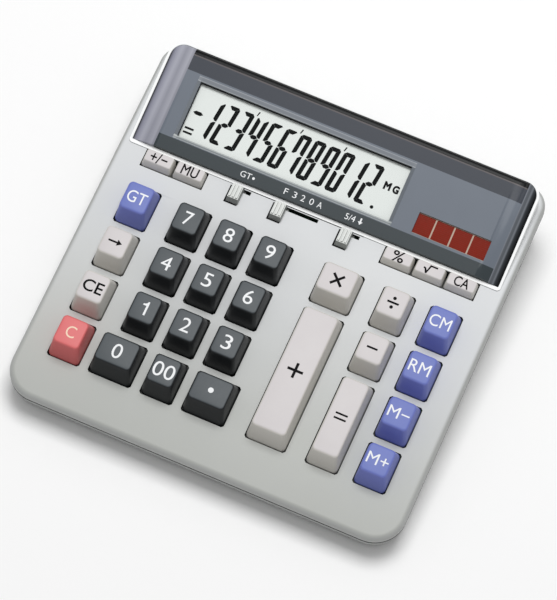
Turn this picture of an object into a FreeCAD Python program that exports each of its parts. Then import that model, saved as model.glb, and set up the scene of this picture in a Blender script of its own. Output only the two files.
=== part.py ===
import FreeCAD, Part

import math
import os
import re

import Sketcher

# Desktop calculator with a wedge-shaped housing, millimetres, +Z up, resting on its feet at z = 0.
# X runs to the right and Y to the back. "The deck" is the sloping key surface. Most pieces are drawn
# on it: x across, y up the slope from its front edge, z square to it, with the deck surface at z = 0.

sizes = {
    # housing
    "housing_width": 180.0,
    "housing_length": 175.0,
    "front_corner": 14.0,
    "back_corner": 10.0,
    "deck_angle": 6.0,
    "deck_front_height": 15.5,
    "deck_front_y": -87.5,
    "edge_rounding": 2.4,
    "wall": 2.2,
    "lid_depth": 3.6,
    "joint_depth": 5.5,
    "seam_width": 0.8,
    "seam_height": 1.0,
    "seam_tongue": 1.4,
    "tongue_root": 1.0,
    "floor_thickness": 2.0,
    "foot_height": 1.5,
    "base_inset": 3.0,
    "base_front_inset": 2.0,
    "base_back_inset": 4.5,
    # key positions: hole centres across the deck, front edges of the rows up the deck
    "left_column_x": -70.0,
    "number_column_x": -46.2,
    "multiply_column_x": 22.9,
    "divide_column_x": 48.4,
    "memory_column_x": 70.0,
    "column_pitch": 19.0,
    "row_front": 20.4,
    "row_pitch": 22.2,
    "small_row_front": 115.0,
    "small_pitch": 14.6,
    "small_left_x": -62.9,
    "small_right_x": 56.1,
    # keys
    "hole_width": 15.0,
    "hole_depth": 19.5,
    "wide_hole_width": 18.7,
    "wide_extra": 4.9,
    "small_hole_depth": 8.3,
    "hole_corner": 0.9,
    "key_gap": 0.5,
    "key_height": 10.0,
    "key_bottom": 3.1,
    "key_corner": 1.0,
    "skirt_corner": 0.85,
    "key_wall": 1.3,
    "key_roof": 1.8,
    "side_inset": 1.2,
    "front_inset": 3.3,
    "back_inset": 2.6,
    "small_key_height": 3.4,
    "small_side_inset": 0.6,
    "small_front_inset": 1.6,
    "small_back_inset": 0.4,
    "small_key_corner": 0.5,
    "small_key_roof": 1.2,
    "stop_tab_reach": 1.0,
    "stop_tab_root": 0.8,
    "stop_tab_height": 0.7,
    "stop_tab_width": 6.0,
    "stem_side": 3.0,
    "stem_bottom": 5.0,
    # slide switches
    "total_switch_x": -34.1,
    "decimal_switch_x": -14.1,
    "rounding_switch_x": 16.6,
    "short_travel": 4.2,
    "long_travel": 15.6,
    "slot_y": 121.9,
    "slot_width": 1.7,
    "slot_clearance": 0.3,
    "knob_width": 5.6,
    "knob_front": 114.9,
    "knob_back": 122.9,
    "knob_height": 3.2,
    "knob_lift": 0.2,
    "knob_front_inset": 1.0,
    "knob_side_inset": 0.3,
    "knob_rib_height": 0.5,
    "knob_rib_width": 0.8,
    "knob_rib_pitch": 1.6,
    "knob_rib_sink": 0.2,
    "knob_rib_front": 0.4,
    "knob_rib_back": 0.8,
    "neck_width": 3.0,
    "neck_depth": 1.2,
    "neck_root": 0.4,
    "carrier_length": 7.0,
    "carrier_depth": 5.0,
    "carrier_height": 1.4,
    "carrier_gap": 0.15,
    "wiper_width": 3.0,
    "wiper_thickness": 0.25,
    "wiper_gap": 0.03,
    "wiper_tip": 4.4,
    "wiper_touch": 3.8,
    "wiper_bend": 1.2,
    "wiper_curl": 0.3,
    # display
    "cover_front": 125.1,
    "cover_fit": 0.1,
    "overshoot": 1.0,
    "cover_length": 46.4,
    "cover_half_width": 85.3,
    "cover_front_height": 2.6,
    "cover_end": 11.0,
    "end_cut_spare": 3.0,
    "cover_wall": 2.2,
    "cover_back_wall": 3.5,
    "cover_inside": 76.0,
    "cover_back_edge": 2.5,
    "cover_back_corner": 6.0,
    "display_angle": 10.0,
    "rim_front": 1.7,
    "rim_side": 1.2,
    "rim_height": 0.5,
    "bed_left": 73.5,
    "bed_right": 77.5,
    "bed_front": 127.5,
    "bed_back": 168.0,
    "lcd_window_left": 67.5,
    "lcd_window_width": 98.7,
    "lcd_window_start": 7.9,
    "lcd_window_height": 25.7,
    "window_bevel": 1.6,
    "window_back_bevel": 2.24,
    "solar_window_left": 42.1,
    "solar_window_width": 33.2,
    "solar_window_start": 7.2,
    "solar_window_height": 9.5,
    "window_lip": 1.0,
    "window_thickness": 1.0,
    "window_margin": 2.0,
    "window_fit": 0.1,
    "lcd_depth": 2.25,
    "lcd_thickness": 2.2,
    "lcd_margin": 2.6,
    "solar_thickness": 1.1,
    "solar_margin": 1.3,
    "frame_depth": 3.6,
    "frame_margin": 2.0,
    "frame_ledge": 4.0,
    # inside
    "mat_top": 8.3,
    "mat_thickness": 1.0,
    "mat_half_width": 75.0,
    "mat_front": 17.5,
    "mat_back": 123.2,
    "mat_notch_front": 113.0,
    "mat_notch_left": 40.0,
    "mat_notch_width": 67.0,
    "board_thickness": 1.6,
    "board_half_width": 76.0,
    "board_front": 11.0,
    "board_back": 128.5,
    "chip_side": 14.0,
    "chip_thickness": 1.8,
    "dome_side": 5.6,
    "dome_height": 3.2,
    "boss_radius": 2.7,
    "boss_clearance": 0.6,
    "front_boss_gap": 4.9,
    "side_boss_gap": 4.3,
    "back_boss_shift": 7.0,
    "board_screw_radius": 1.0,
    "board_screw_head": 2.0,
    "board_screw_head_height": 1.2,
    "board_screw_length": 6.0,
    "case_boss_x": 81.0,
    "case_boss_front": 12.0,
    "case_boss_back": 162.0,
    "case_boss_radius": 3.4,
    "post_radius": 4.3,
    "post_root": 1.0,
    "screw_well": 3.0,
    "screw_seat": 11.6,
    "screw_clearance": 1.5,
    "screw_radius": 1.25,
    "screw_head": 2.6,
    "screw_head_height": 1.8,
    "screw_length": 9.8,
    # battery bay, square to the underside
    "bay_left": 33.0,
    "bay_front": 46.0,
    "bay_width": 30.0,
    "bay_depth": 20.0,
    "bay_height": 9.6,
    "bay_wall": 1.5,
    "bay_ledge": 2.0,
    "bay_root": 1.0,
    "chamber_width": 22.0,
    "battery_cover_thickness": 1.5,
    "battery_cover_fit": 0.15,
    "cell_radius": 5.8,
    "cell_height": 5.4,
    "cell_x": 46.0,
    "cell_y": 56.0,
    "cell_bottom": 3.2,
    "contact_thickness": 0.25,
    "contact_width": 5.0,
    "cover_screw_x": 60.0,
    "cover_screw_head_height": 0.8,
    "contact_half_length": 2.5,
    "contact_curl": 0.5,
    "side_contact_top": 7.6,
    "side_contact_touch": 6.2,
    "side_contact_foot": 4.6,
    "battery_lead_start": 52.0,
    "battery_lead_bend": 47.0,
    "battery_lead_drop": 43.5,
    "battery_lead_low": 13.0,
    "battery_lead_rise": 1.2,
    "battery_lead_landing": 4.0,
    "lead_width": 6.0,
    "lead_thickness": 0.4,
    "lead_start": 12.0,
    "lead_grip": 2.0,
    "lead_hang": 4.0,
    "lead_slack": 1.4,
    "solar_lead_x": 58.0,
    "ribbon_x": -18.0,
    "ribbon_width": 64.0,
    # feet
    "foot_radius": 5.0,
    "foot_x": 72.0,
    "foot_front_y": -72.0,
    "foot_back_y": 70.0,
}

doc = FreeCAD.newDocument("desktop_calculator")
sheet = doc.addObject("Spreadsheet::Sheet", "Sizes")
for row, (alias, value) in enumerate(sizes.items(), start=1):
    sheet.set("A%d" % row, alias)
    sheet.set("B%d" % row, repr(value))
    sheet.setAlias("B%d" % row, alias)
doc.recompute()

vector = FreeCAD.Vector
rule = Sketcher.Constraint
no_turn = FreeCAD.Rotation()
about_x = vector(1, 0, 0)
upwards = vector(0, 0, 1)
level_turn = FreeCAD.Rotation(about_x, -sizes["deck_angle"])
pieces = []


def cell_text(text):
    """Turn a formula written with size names into one that points at the sheet's cells."""
    return re.sub(r"[a-z_]+", lambda m: "Sizes." + m.group() if m.group() in sizes else m.group(), str(text))


def value_of(text):
    return float(sheet.evalExpression(cell_text(text)))


def bind(item, prop, text):
    item.setExpression(prop, cell_text(text))


def faces_where(item, test):
    return ["Face%d" % (i + 1) for i, face in enumerate(item.Shape.Faces) if test(face)]


def edges_where(item, test):
    return ["Edge%d" % (i + 1) for i, edge in enumerate(item.Shape.Edges) if test(edge)]


def is_upright(edge):
    ends = edge.Vertexes
    return len(ends) == 2 and abs(ends[0].X - ends[1].X) < 1e-4 and abs(ends[0].Y - ends[1].Y) < 1e-4


# Bodies and their places

def new_body(label, tilt, across, along, above):
    body = doc.addObject("PartDesign::Body", label)
    body.Label = label
    body.Placement = FreeCAD.Placement(vector(), FreeCAD.Rotation(about_x, max(value_of(tilt), 1)))
    bind(body, "Placement.Rotation.Angle", "(%s) * 1 deg" % tilt)
    bind(body, "Placement.Base.x", across)
    bind(body, "Placement.Base.y", along)
    bind(body, "Placement.Base.z", above)
    pieces.append(body)
    return body


def deck_body(label, across="0", along="0"):
    """A piece drawn square to the deck, from a point on it."""
    return new_body(label, "deck_angle", across,
                    "deck_front_y + (%s) * cos(deck_angle)" % along,
                    "deck_front_height + (%s) * sin(deck_angle)" % along)


def display_body(label, across="0"):
    """A piece drawn square to the sloping top of the display cover, from the cover's front edge."""
    return new_body(label, "deck_angle + display_angle", across,
                    "deck_front_y + cover_front * cos(deck_angle) - cover_front_height * sin(deck_angle)",
                    "deck_front_height + cover_front * sin(deck_angle)"
                    " + cover_front_height * cos(deck_angle)")


def level_body(label, across="0", along="0", above="0"):
    """A piece drawn square to the ground."""
    return new_body(label, "0", across, along, above)


def level_point(along, above):
    """Where a point given on the ground frame lies in the deck's frame."""
    run = "((%s) - deck_front_y)" % along
    rise = "((%s) - deck_front_height)" % above
    return ("%s * cos(deck_angle) + %s * sin(deck_angle)" % (run, rise),
            "%s * cos(deck_angle) - %s * sin(deck_angle)" % (rise, run))


def origin_item(body, role):
    return [item for item in body.Origin.OriginFeatures if item.Role == role][0]


def place_feature(feature, body, role, x, y, z, turn=no_turn):
    feature.AttachmentSupport = [(origin_item(body, role), "")]
    feature.MapMode = "FlatFace"
    feature.AttachmentOffset = FreeCAD.Placement(vector(), turn)
    bind(feature, "AttachmentOffset.Base.x", x)
    bind(feature, "AttachmentOffset.Base.y", y)
    bind(feature, "AttachmentOffset.Base.z", z)


# Solid features. Faces that lie in one plane are merged once, on each body's last feature.

def new_feature(body, kind, name):
    feature = body.newObject("PartDesign::" + kind, name)
    feature.Refine = False
    return feature


def box(body, name, x, y, z, length, width, height, cut=False, turn=no_turn):
    """A block with its left, front, bottom corner at x, y, z."""
    feature = new_feature(body, "SubtractiveBox" if cut else "AdditiveBox", name)
    bind(feature, "Length", length)
    bind(feature, "Width", width)
    bind(feature, "Height", height)
    place_feature(feature, body, "XY_Plane", x, y, z, turn)
    return feature


def cylinder(body, name, x, y, z, radius, height):
    feature = new_feature(body, "AdditiveCylinder", name)
    bind(feature, "Radius", radius)
    bind(feature, "Height", height)
    place_feature(feature, body, "XY_Plane", x, y, z)
    return feature


def tapered_block(body, name, centre, bottom, top, half_width, half_depth, insets, cut=False):
    """A block whose top is smaller than its bottom by a side, a front and a back inset."""
    side, front, back = insets
    feature = new_feature(body, "SubtractiveWedge" if cut else "AdditiveWedge", name)
    far = 1000
    for limit in ("Xmax", "X2max", "Ymax", "Zmax", "Z2max"):
        setattr(feature, limit, far)
    bind(feature, "Ymin", bottom)
    bind(feature, "Ymax", top)
    bind(feature, "Xmin", "-(%s)" % half_width)
    bind(feature, "Xmax", half_width)
    bind(feature, "Zmin", "-(%s)" % half_depth)
    bind(feature, "Zmax", half_depth)
    bind(feature, "X2min", "-(%s) + (%s)" % (half_width, side))
    bind(feature, "X2max", "(%s) - (%s)" % (half_width, side))
    bind(feature, "Z2min", "-(%s) + (%s)" % (half_depth, back))
    bind(feature, "Z2max", "(%s) - (%s)" % (half_depth, front))
    place_feature(feature, body, "XY_Plane", centre[0], centre[1], "0", FreeCAD.Rotation(about_x, 90))
    return feature


def dress_edges(body, kind, name, base, names, size):
    """A Fillet or a Chamfer on the named edges or faces of an earlier feature."""
    feature = new_feature(body, kind, name)
    feature.Base = (base, names)
    bind(feature, "Radius" if kind == "Fillet" else "Size", size)
    return feature


# Sketches

def new_sketch(body, name, role="XY_Plane", x="0", y="0", z="0", turn=no_turn):
    sketch = body.newObject("Sketcher::SketchObject", name)
    place_feature(sketch, body, role, x, y, z, turn)
    return sketch


def size_constraint(sketch, constraint, name, text):
    index = sketch.addConstraint(constraint)
    sketch.renameConstraint(index, name)
    bind(sketch, "Constraints." + name, text)


def outline(sketch, width, front, back, front_radius, back_radius):
    """A closed outline, symmetric across x, with rounded front and back corners."""
    half = value_of(width) / 2
    y0 = value_of(front)
    y1 = value_of(back)
    r0 = value_of(front_radius)
    r1 = value_of(back_radius)
    first = sketch.GeometryCount
    sketch.addGeometry([
        Part.LineSegment(vector(-half + r0, y0), vector(half - r0, y0)),
        Part.ArcOfCircle(Part.Circle(vector(half - r0, y0 + r0), upwards, r0), -math.pi / 2, 0),
        Part.LineSegment(vector(half, y0 + r0), vector(half, y1 - r1)),
        Part.ArcOfCircle(Part.Circle(vector(half - r1, y1 - r1), upwards, r1), 0, math.pi / 2),
        Part.LineSegment(vector(half - r1, y1), vector(-half + r1, y1)),
        Part.ArcOfCircle(Part.Circle(vector(-half + r1, y1 - r1), upwards, r1), math.pi / 2, math.pi),
        Part.LineSegment(vector(-half, y1 - r1), vector(-half, y0 + r0)),
        Part.ArcOfCircle(Part.Circle(vector(-half + r0, y0 + r0), upwards, r0), math.pi, 1.5 * math.pi),
    ], False)
    side = [first + i for i in range(8)]
    joins = [rule("Tangent", side[i], 2, side[(i + 1) % 8], 1) for i in range(8)]
    sketch.addConstraint(joins + [
        rule("Horizontal", side[0]), rule("Horizontal", side[4]),
        rule("Vertical", side[2]), rule("Vertical", side[6]),
        rule("Equal", side[1], side[7]), rule("Equal", side[3], side[5]),
    ])
    tag = "" if first == 0 else "_%d" % first
    size_constraint(sketch, rule("Radius", side[1], r0), "front_radius" + tag, front_radius)
    size_constraint(sketch, rule("Radius", side[3], r1), "back_radius" + tag, back_radius)
    size_constraint(sketch, rule("DistanceX", side[6], 1, side[2], 1, 2 * half), "width" + tag, width)
    size_constraint(sketch, rule("DistanceX", side[6], 1, -1, 1, half), "half" + tag, "(%s) / 2" % width)
    size_constraint(sketch, rule("DistanceY", side[0], 1, side[4], 1, y1 - y0), "length" + tag,
                    "(%s) - (%s)" % (back, front))
    size_constraint(sketch, rule("DistanceY", -1, 1, side[4], 1, y1), "back" + tag, back)


def polygons(sketch, loops):
    """Closed outlines of straight lines; each corner is a pair of formulas."""
    lines = []
    joins = []
    places = []
    for corners in loops:
        first = len(lines)
        count = len(corners)
        points = [vector(value_of(a), value_of(b)) for a, b in corners]
        for i in range(count):
            lines.append(Part.LineSegment(points[i], points[(i + 1) % count]))
            joins.append(rule("Coincident", first + i, 2, first + (i + 1) % count, 1))
            places.append((rule("DistanceX", -1, 1, first + i, 1, points[i].x), corners[i][0]))
            places.append((rule("DistanceY", -1, 1, first + i, 1, points[i].y), corners[i][1]))
    sketch.addGeometry(lines, False)
    sketch.addConstraint(joins + [constraint for constraint, text in places])
    for i, (constraint, text) in enumerate(places):
        bind(sketch, "Constraints[%d]" % (len(joins) + i), text)


def rectangle(x, y, width, depth, corner="0"):
    """Corners of a rectangle about a centre, with its corners cut off where a size is given."""
    right = "(%s) + (%s) / 2" % (x, width)
    left = "(%s) - (%s) / 2" % (x, width)
    back = "(%s) + (%s) / 2" % (y, depth)
    front = "(%s) - (%s) / 2" % (y, depth)
    if corner == "0":
        return [(left, front), (right, front), (right, back), (left, back)]
    return [
        (left + " + " + corner, front), (right + " - " + corner, front),
        (right, front + " + " + corner), (right, back + " - " + corner),
        (right + " - " + corner, back), (left + " + " + corner, back),
        (left, back + " - " + corner), (left, front + " + " + corner),
    ]


def regular(x, y, radius, sides):
    """Corners of a regular polygon about a centre."""
    turns = [360.0 * i / sides for i in range(sides)]
    return [("(%s) + %s * cos(%g)" % (x, radius, turn), "(%s) + %s * sin(%g)" % (y, radius, turn))
            for turn in turns]


def pad(body, name, sketch, length, downwards=False, both_ways=False):
    feature = new_feature(body, "Pad", name)
    feature.Profile = sketch
    bind(feature, "Length", length)
    feature.Reversed = downwards
    feature.Midplane = both_ways
    return feature


def pocket(body, name, sketch, length, both_ways=False):
    feature = new_feature(body, "Pocket", name)
    feature.Profile = sketch
    bind(feature, "Length", length)
    feature.Midplane = both_ways
    return feature


def ruled_loft(body, kind, name, first, last):
    feature = new_feature(body, kind, name)
    feature.Profile = first
    feature.Sections = [last]
    feature.Ruled = True
    return feature


def posts(body, name, centres, z, radius, height, cut=False, sides=12, turn=no_turn, place=("0", "0")):
    """Many-sided posts or holes of one size, each starting at height z."""
    sketch = new_sketch(body, name + "_outlines", "XY_Plane", place[0], place[1], z, turn)
    polygons(sketch, [regular(x, y, radius, sides) for x, y in centres])
    if not cut:
        return pad(body, name, sketch, height)
    feature = pocket(body, name, sketch, height)
    feature.Reversed = True
    return feature


def strip(body, name, path, thickness, width):
    """A thin bent strip: a path in the y-z plane given a thickness, padded both ways across x."""
    half = value_of(thickness) / 2
    over = []
    under = []
    for i, (y, z) in enumerate(path):
        before = path[max(i - 1, 0)]
        after = path[min(i + 1, len(path) - 1)]
        run = vector(after[0] - before[0], after[1] - before[1]).normalize()
        over.append((y - run.y * half, z + run.x * half))
        under.append((y + run.y * half, z - run.x * half))
    sketch = new_sketch(body, name + "_profile", "YZ_Plane")
    polygons(sketch, [[(repr(round(y, 4)), repr(round(z, 4))) for y, z in over + under[::-1]]])
    return pad(body, name, sketch, width, both_ways=True)


# Places on the deck: node, centre across and along the deck, width and depth of the hole

def row_y(row):
    """Centre of a one-row key, counting rows from the front."""
    return "row_front + %d * row_pitch + hole_depth / 2" % row


def number_x(column):
    return "number_column_x + %d * column_pitch" % column


def ordinary_key(node, x, row):
    return (node, x, row_y(row), "hole_width", "hole_depth")


main_keys = [
    ordinary_key("key_clear", "left_column_x", 0),
    ordinary_key("key_clear_entry", "left_column_x", 1),
    ordinary_key("key_backspace", "left_column_x", 2),
    ordinary_key("key_grand_total", "left_column_x", 3),
    ("key_zero", "number_column_x - wide_extra / 2", row_y(0), "hole_width + wide_extra", "hole_depth"),
    ordinary_key("key_double_zero", number_x(1), 0),
    ("key_point", number_x(2) + " + wide_extra / 2", row_y(0), "hole_width + wide_extra", "hole_depth"),
    ("key_plus", "multiply_column_x", row_y(1), "wide_hole_width", "hole_depth + 2 * row_pitch"),
    ("key_multiply", "multiply_column_x", row_y(3), "wide_hole_width", "hole_depth"),
    ("key_equals", "divide_column_x", row_y(0) + " + row_pitch / 2", "hole_width", "hole_depth + row_pitch"),
    ordinary_key("key_minus", "divide_column_x", 2),
    ordinary_key("key_divide", "divide_column_x", 3),
    ordinary_key("key_memory_plus", "memory_column_x", 0),
    ordinary_key("key_memory_minus", "memory_column_x", 1),
    ordinary_key("key_memory_recall", "memory_column_x", 2),
    ordinary_key("key_memory_clear", "memory_column_x", 3),
]
for index, digit in enumerate(["one", "two", "three", "four", "five", "six", "seven", "eight", "nine"]):
    main_keys.append(ordinary_key("key_" + digit, number_x(index % 3), 1 + index // 3))

small_y = "small_row_front + small_hole_depth / 2"


def small_key(node, x):
    return (node, x, small_y, "small_pitch", "small_hole_depth")


small_keys = [
    small_key("key_sign_change", "small_left_x - small_pitch / 2"),
    small_key("key_mark_up", "small_left_x + small_pitch / 2"),
    small_key("key_percent", "small_right_x - small_pitch"),
    small_key("key_root", "small_right_x"),
    small_key("key_clear_all", "small_right_x + small_pitch"),
]
small_slots = [
    ("small_left_x", small_y, "2 * small_pitch", "small_hole_depth"),
    ("small_right_x", small_y, "3 * small_pitch", "small_hole_depth"),
]
switches = [
    ("total_switch", "total_switch_x", "short_travel"),
    ("decimal_switch", "decimal_switch_x", "long_travel"),
    ("rounding_switch", "rounding_switch_x", "short_travel"),
]
between_left_columns = "(left_column_x + number_column_x) / 2"
before_divide = "divide_column_x - hole_width / 2 - side_boss_gap"
before_memory = "(divide_column_x + memory_column_x) / 2"
front_bosses_y = "row_front - front_boss_gap"
middle_bosses_y = "row_front + 2 * row_pitch - (row_pitch - hole_depth) / 2"
back_bosses_y = "(row_front + 3 * row_pitch + hole_depth + small_row_front) / 2"
board_bosses = [
    (between_left_columns, front_bosses_y), (before_memory, front_bosses_y),
    (between_left_columns, middle_bosses_y), (before_divide, middle_bosses_y),
    ("number_column_x", back_bosses_y), ("multiply_column_x + back_boss_shift", back_bosses_y),
]
case_bosses = [
    ("-case_boss_x", "case_boss_front"), ("case_boss_x", "case_boss_front"),
    ("-case_boss_x", "case_boss_back"), ("case_boss_x", "case_boss_back"),
]


# Housing

def make_upper_case():
    body = deck_body("upper_case")
    plan = new_sketch(body, "deck_outline")
    outline(plan, "housing_width", "0", "housing_length", "front_corner", "back_corner")
    plate = pad(body, "deck_plate", plan, "lid_depth", downwards=True)
    doc.recompute()
    top = faces_where(plate, lambda face: abs(face.CenterOfMass.z) < 1e-6)
    dress_edges(body, "Fillet", "top_edge", plate, top, "edge_rounding")
    inside = new_sketch(body, "deck_inside", z="-wall")
    outline(inside, "housing_width - 2 * wall", "wall", "housing_length - wall",
            "front_corner - wall", "back_corner - wall")
    pocket(body, "hollow", inside, "lid_depth")
    make_display_rim(body)
    posts(body, "board_bosses", board_bosses, "-mat_top - mat_thickness", "boss_radius",
          "mat_top + mat_thickness - wall / 2", sides=8)
    posts(body, "board_pilots", board_bosses, "-mat_top - mat_thickness", "board_screw_radius",
          "mat_top + mat_thickness - wall", cut=True, sides=8)
    posts(body, "case_bosses", case_bosses, "-joint_depth", "case_boss_radius", "joint_depth - wall / 2")
    posts(body, "case_pilots", case_bosses, "-joint_depth", "screw_radius", "joint_depth - wall / 2",
          cut=True)
    cut_holes(body, "column_holes", [rectangle("left_column_x", row_y(0), "hole_width", "hole_depth",
                                               "hole_corner"),
                                     rectangle("memory_column_x", row_y(0), "hole_width", "hole_depth",
                                               "hole_corner")], [("Y_Axis", "row_pitch", 4)])
    cut_holes(body, "number_holes", [rectangle(number_x(0), row_y(1), "hole_width", "hole_depth",
                                               "hole_corner")],
              [("X_Axis", "column_pitch", 3), ("Y_Axis", "row_pitch", 3)])
    single = ["key_zero", "key_double_zero", "key_point", "key_plus", "key_multiply", "key_equals",
              "key_minus", "key_divide"]
    cut_holes(body, "wide_holes", [rectangle(*place[1:], "hole_corner") for place in main_keys
                                   if place[0] in single[:4]])
    cut_holes(body, "operator_holes", [rectangle(*place[1:], "hole_corner") for place in main_keys
                                       if place[0] in single[4:]])
    slots = [rectangle(*place) for place in small_slots]
    for name, x, travel in switches:
        slots.append(rectangle("%s + %s / 2" % (x, travel), "slot_y",
                               "neck_width + %s + 2 * slot_clearance" % travel, "slot_width"))
    slots.append(rectangle("(bed_right - bed_left) / 2", "(bed_front + bed_back) / 2",
                           "bed_left + bed_right", "bed_back - bed_front"))
    cut_holes(body, "slots_and_display_bed", slots)


def make_display_rim(body):
    """A thin wall round the sides and back of the display cover, rising with the cover's slope."""
    rim = new_sketch(body, "display_rim_outline", z="-wall / 2")
    outline(rim, "2 * (cover_half_width + rim_side)", "cover_front - rim_front",
            "cover_front + cover_length + rim_side", "rim_front", "cover_back_corner + rim_side")
    outline(rim, "2 * (cover_half_width + cover_fit)", "cover_front - cover_fit",
            "cover_front + cover_length + cover_fit", "rim_front / 8", "cover_back_corner")
    back_rise = "(cover_length + rim_side) * tan(display_angle)"
    pad(body, "display_rim", rim, "wall / 2 + rim_height + " + back_rise)
    front_y = "cover_front - rim_front - overshoot"
    back_y = "cover_front + cover_length + rim_side + overshoot"
    slope = new_sketch(body, "rim_slope", "YZ_Plane")
    polygons(slope, [[
        (front_y, "rim_height"),
        ("cover_front", "rim_height"),
        (back_y, "rim_height + (cover_length + rim_side + overshoot) * tan(display_angle)"),
        (back_y, "rim_height + 2 * overshoot + " + back_rise),
        (front_y, "rim_height + 2 * overshoot + " + back_rise),
    ]])
    pocket(body, "rim_top", slope, "housing_width", both_ways=True)


def cut_holes(body, name, loops, repeats=()):
    """Cut outlines right through the deck, repeated along one or two directions."""
    sketch = new_sketch(body, name + "_outlines", z="rim_height + overshoot")
    polygons(sketch, loops)
    hole = pocket(body, name, sketch, "rim_height + wall + 1.5 * overshoot")
    if not repeats:
        return
    rows = []
    for role, pitch, count in repeats:
        pattern = new_feature(body, "LinearPattern", "%s_along_%s" % (name, role[0].lower()))
        pattern.Direction = (origin_item(body, role), [""])
        bind(pattern, "Length", "%d * %s" % (count - 1, pitch))
        pattern.Occurrences = count
        rows.append(pattern)
    if len(rows) == 1:
        rows[0].Originals = [hole]
        body.Tip = rows[0]
        return
    grid = new_feature(body, "MultiTransform", name + "_grid")
    grid.Originals = [hole]
    grid.Transformations = rows
    body.Tip = grid


def base_depth(y):
    """How far below the deck surface the underside is, at a distance up the deck."""
    return "((deck_front_height - foot_height) / cos(deck_angle) + (%s) * tan(deck_angle))" % y


def make_lower_case():
    body = deck_body("lower_case")
    top = new_sketch(body, "rim_outline", z="-lid_depth - seam_height")
    outline(top, "housing_width", "0", "housing_length", "front_corner", "back_corner")
    base = new_sketch(body, "base_outline", z="-" + base_depth("0"), turn=level_turn)
    outline(base, "housing_width - 2 * base_inset", "base_front_inset", "housing_length - base_back_inset",
            "front_corner - base_inset", "back_corner - base_inset")
    ruled_loft(body, "AdditiveLoft", "tub", top, base)
    inner_top = new_sketch(body, "inside_rim", z="-lid_depth - seam_height")
    outline(inner_top, "housing_width - 2 * wall", "wall", "housing_length - wall",
            "front_corner - wall", "back_corner - wall")
    inner_base = new_sketch(body, "inside_floor", z="floor_thickness / cos(deck_angle) - " + base_depth("0"),
                            turn=level_turn)
    outline(inner_base, "housing_width - 2 * base_inset - 2 * wall", "base_front_inset + wall",
            "housing_length - base_back_inset - wall", "front_corner - base_inset - wall",
            "back_corner - base_inset - wall")
    ruled_loft(body, "SubtractiveLoft", "tub_inside", inner_top, inner_base)
    tongue = new_sketch(body, "tongue_outline", z="-lid_depth - seam_height - tongue_root")
    outline(tongue, "housing_width - 2 * seam_width", "seam_width", "housing_length - seam_width",
            "front_corner - seam_width", "back_corner - seam_width")
    outline(tongue, "housing_width - 2 * (seam_width + seam_tongue)", "seam_width + seam_tongue",
            "housing_length - seam_width - seam_tongue", "front_corner - seam_width - seam_tongue",
            "back_corner - seam_width - seam_tongue")
    pad(body, "tongue", tongue, "seam_height + tongue_root")
    for name, centres in (("front", case_bosses[:2]), ("back", case_bosses[2:])):
        depth = base_depth(centres[0][1])
        posts(body, name + "_posts", centres, "post_root - " + depth, "post_radius",
              depth + " - post_root - joint_depth")
        posts(body, name + "_screw_wells", centres, "-2 * overshoot - " + depth, "screw_well",
              depth + " + 2 * overshoot - screw_seat", cut=True)
    posts(body, "screw_ways", case_bosses, "-screw_seat - overshoot", "screw_clearance", "screw_seat",
          cut=True)
    make_battery_bay(body)


def level_box(body, name, x, y, z, length, width, height, cut=False):
    """A block in a deck body, square to the ground and given in the ground's frame."""
    along, above = level_point(y, z)
    return box(body, name, x, along, above, length, width, height, cut, level_turn)


def make_battery_bay(body):
    level_box(body, "bay_block", "bay_left - bay_wall", "bay_front - bay_wall", "foot_height + bay_root",
              "bay_width + 2 * bay_wall", "bay_depth + 2 * bay_wall", "bay_height - bay_root")
    level_box(body, "bay_chamber", "bay_left + bay_ledge", "bay_front + bay_ledge", "foot_height - overshoot",
              "chamber_width", "bay_depth - 2 * bay_ledge", "bay_height + overshoot - bay_wall", cut=True)
    level_box(body, "bay_cover_seat", "bay_left", "bay_front", "foot_height - overshoot", "bay_width",
              "bay_depth", "battery_cover_thickness + overshoot", cut=True)
    along, above = level_point("cell_y", "foot_height")
    posts(body, "cover_pilot", [("cover_screw_x", "0")], above, "board_screw_radius",
          "battery_cover_thickness + board_screw_length", cut=True, sides=8, turn=level_turn,
          place=("0", along))


def make_case_screws():
    body = deck_body("case_screws")
    posts(body, "heads", case_bosses, "-screw_seat - screw_head_height", "screw_head",
          "screw_head_height")
    posts(body, "shanks", case_bosses, "-screw_seat", "screw_radius", "screw_length")


def make_rubber_feet():
    body = level_body("rubber_feet")
    corners = [("-foot_x", "foot_front_y"), ("foot_x", "foot_front_y"),
               ("-foot_x", "foot_back_y"), ("foot_x", "foot_back_y")]
    posts(body, "feet", corners, "0", "foot_radius", "foot_height", sides=20)


# Keys

def key_core(body, bottom, top, inside_half_width, inside_half_depth, insets, roof, half_depth):
    """The inside that all keys share: a hollow, a stem that presses its dome, and two stop tabs."""
    tapered_block(body, "hollow", ("0", "0"), bottom + " - 0.5", "%s - %s" % (top, roof),
                  inside_half_width, inside_half_depth, insets, cut=True)
    box(body, "stem", "-stem_side / 2", "-stem_side / 2", "-stem_bottom", "stem_side", "stem_side",
        "stem_bottom + %s - %s / 2" % (top, roof))
    for end, start in (("front", "-(%s) - stop_tab_reach" % half_depth),
                       ("back", half_depth + " - stop_tab_root")):
        box(body, end + "_stop", "-stop_tab_width / 2", start, "-key_bottom", "stop_tab_width",
            "stop_tab_root + stop_tab_reach", "stop_tab_height")


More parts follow.
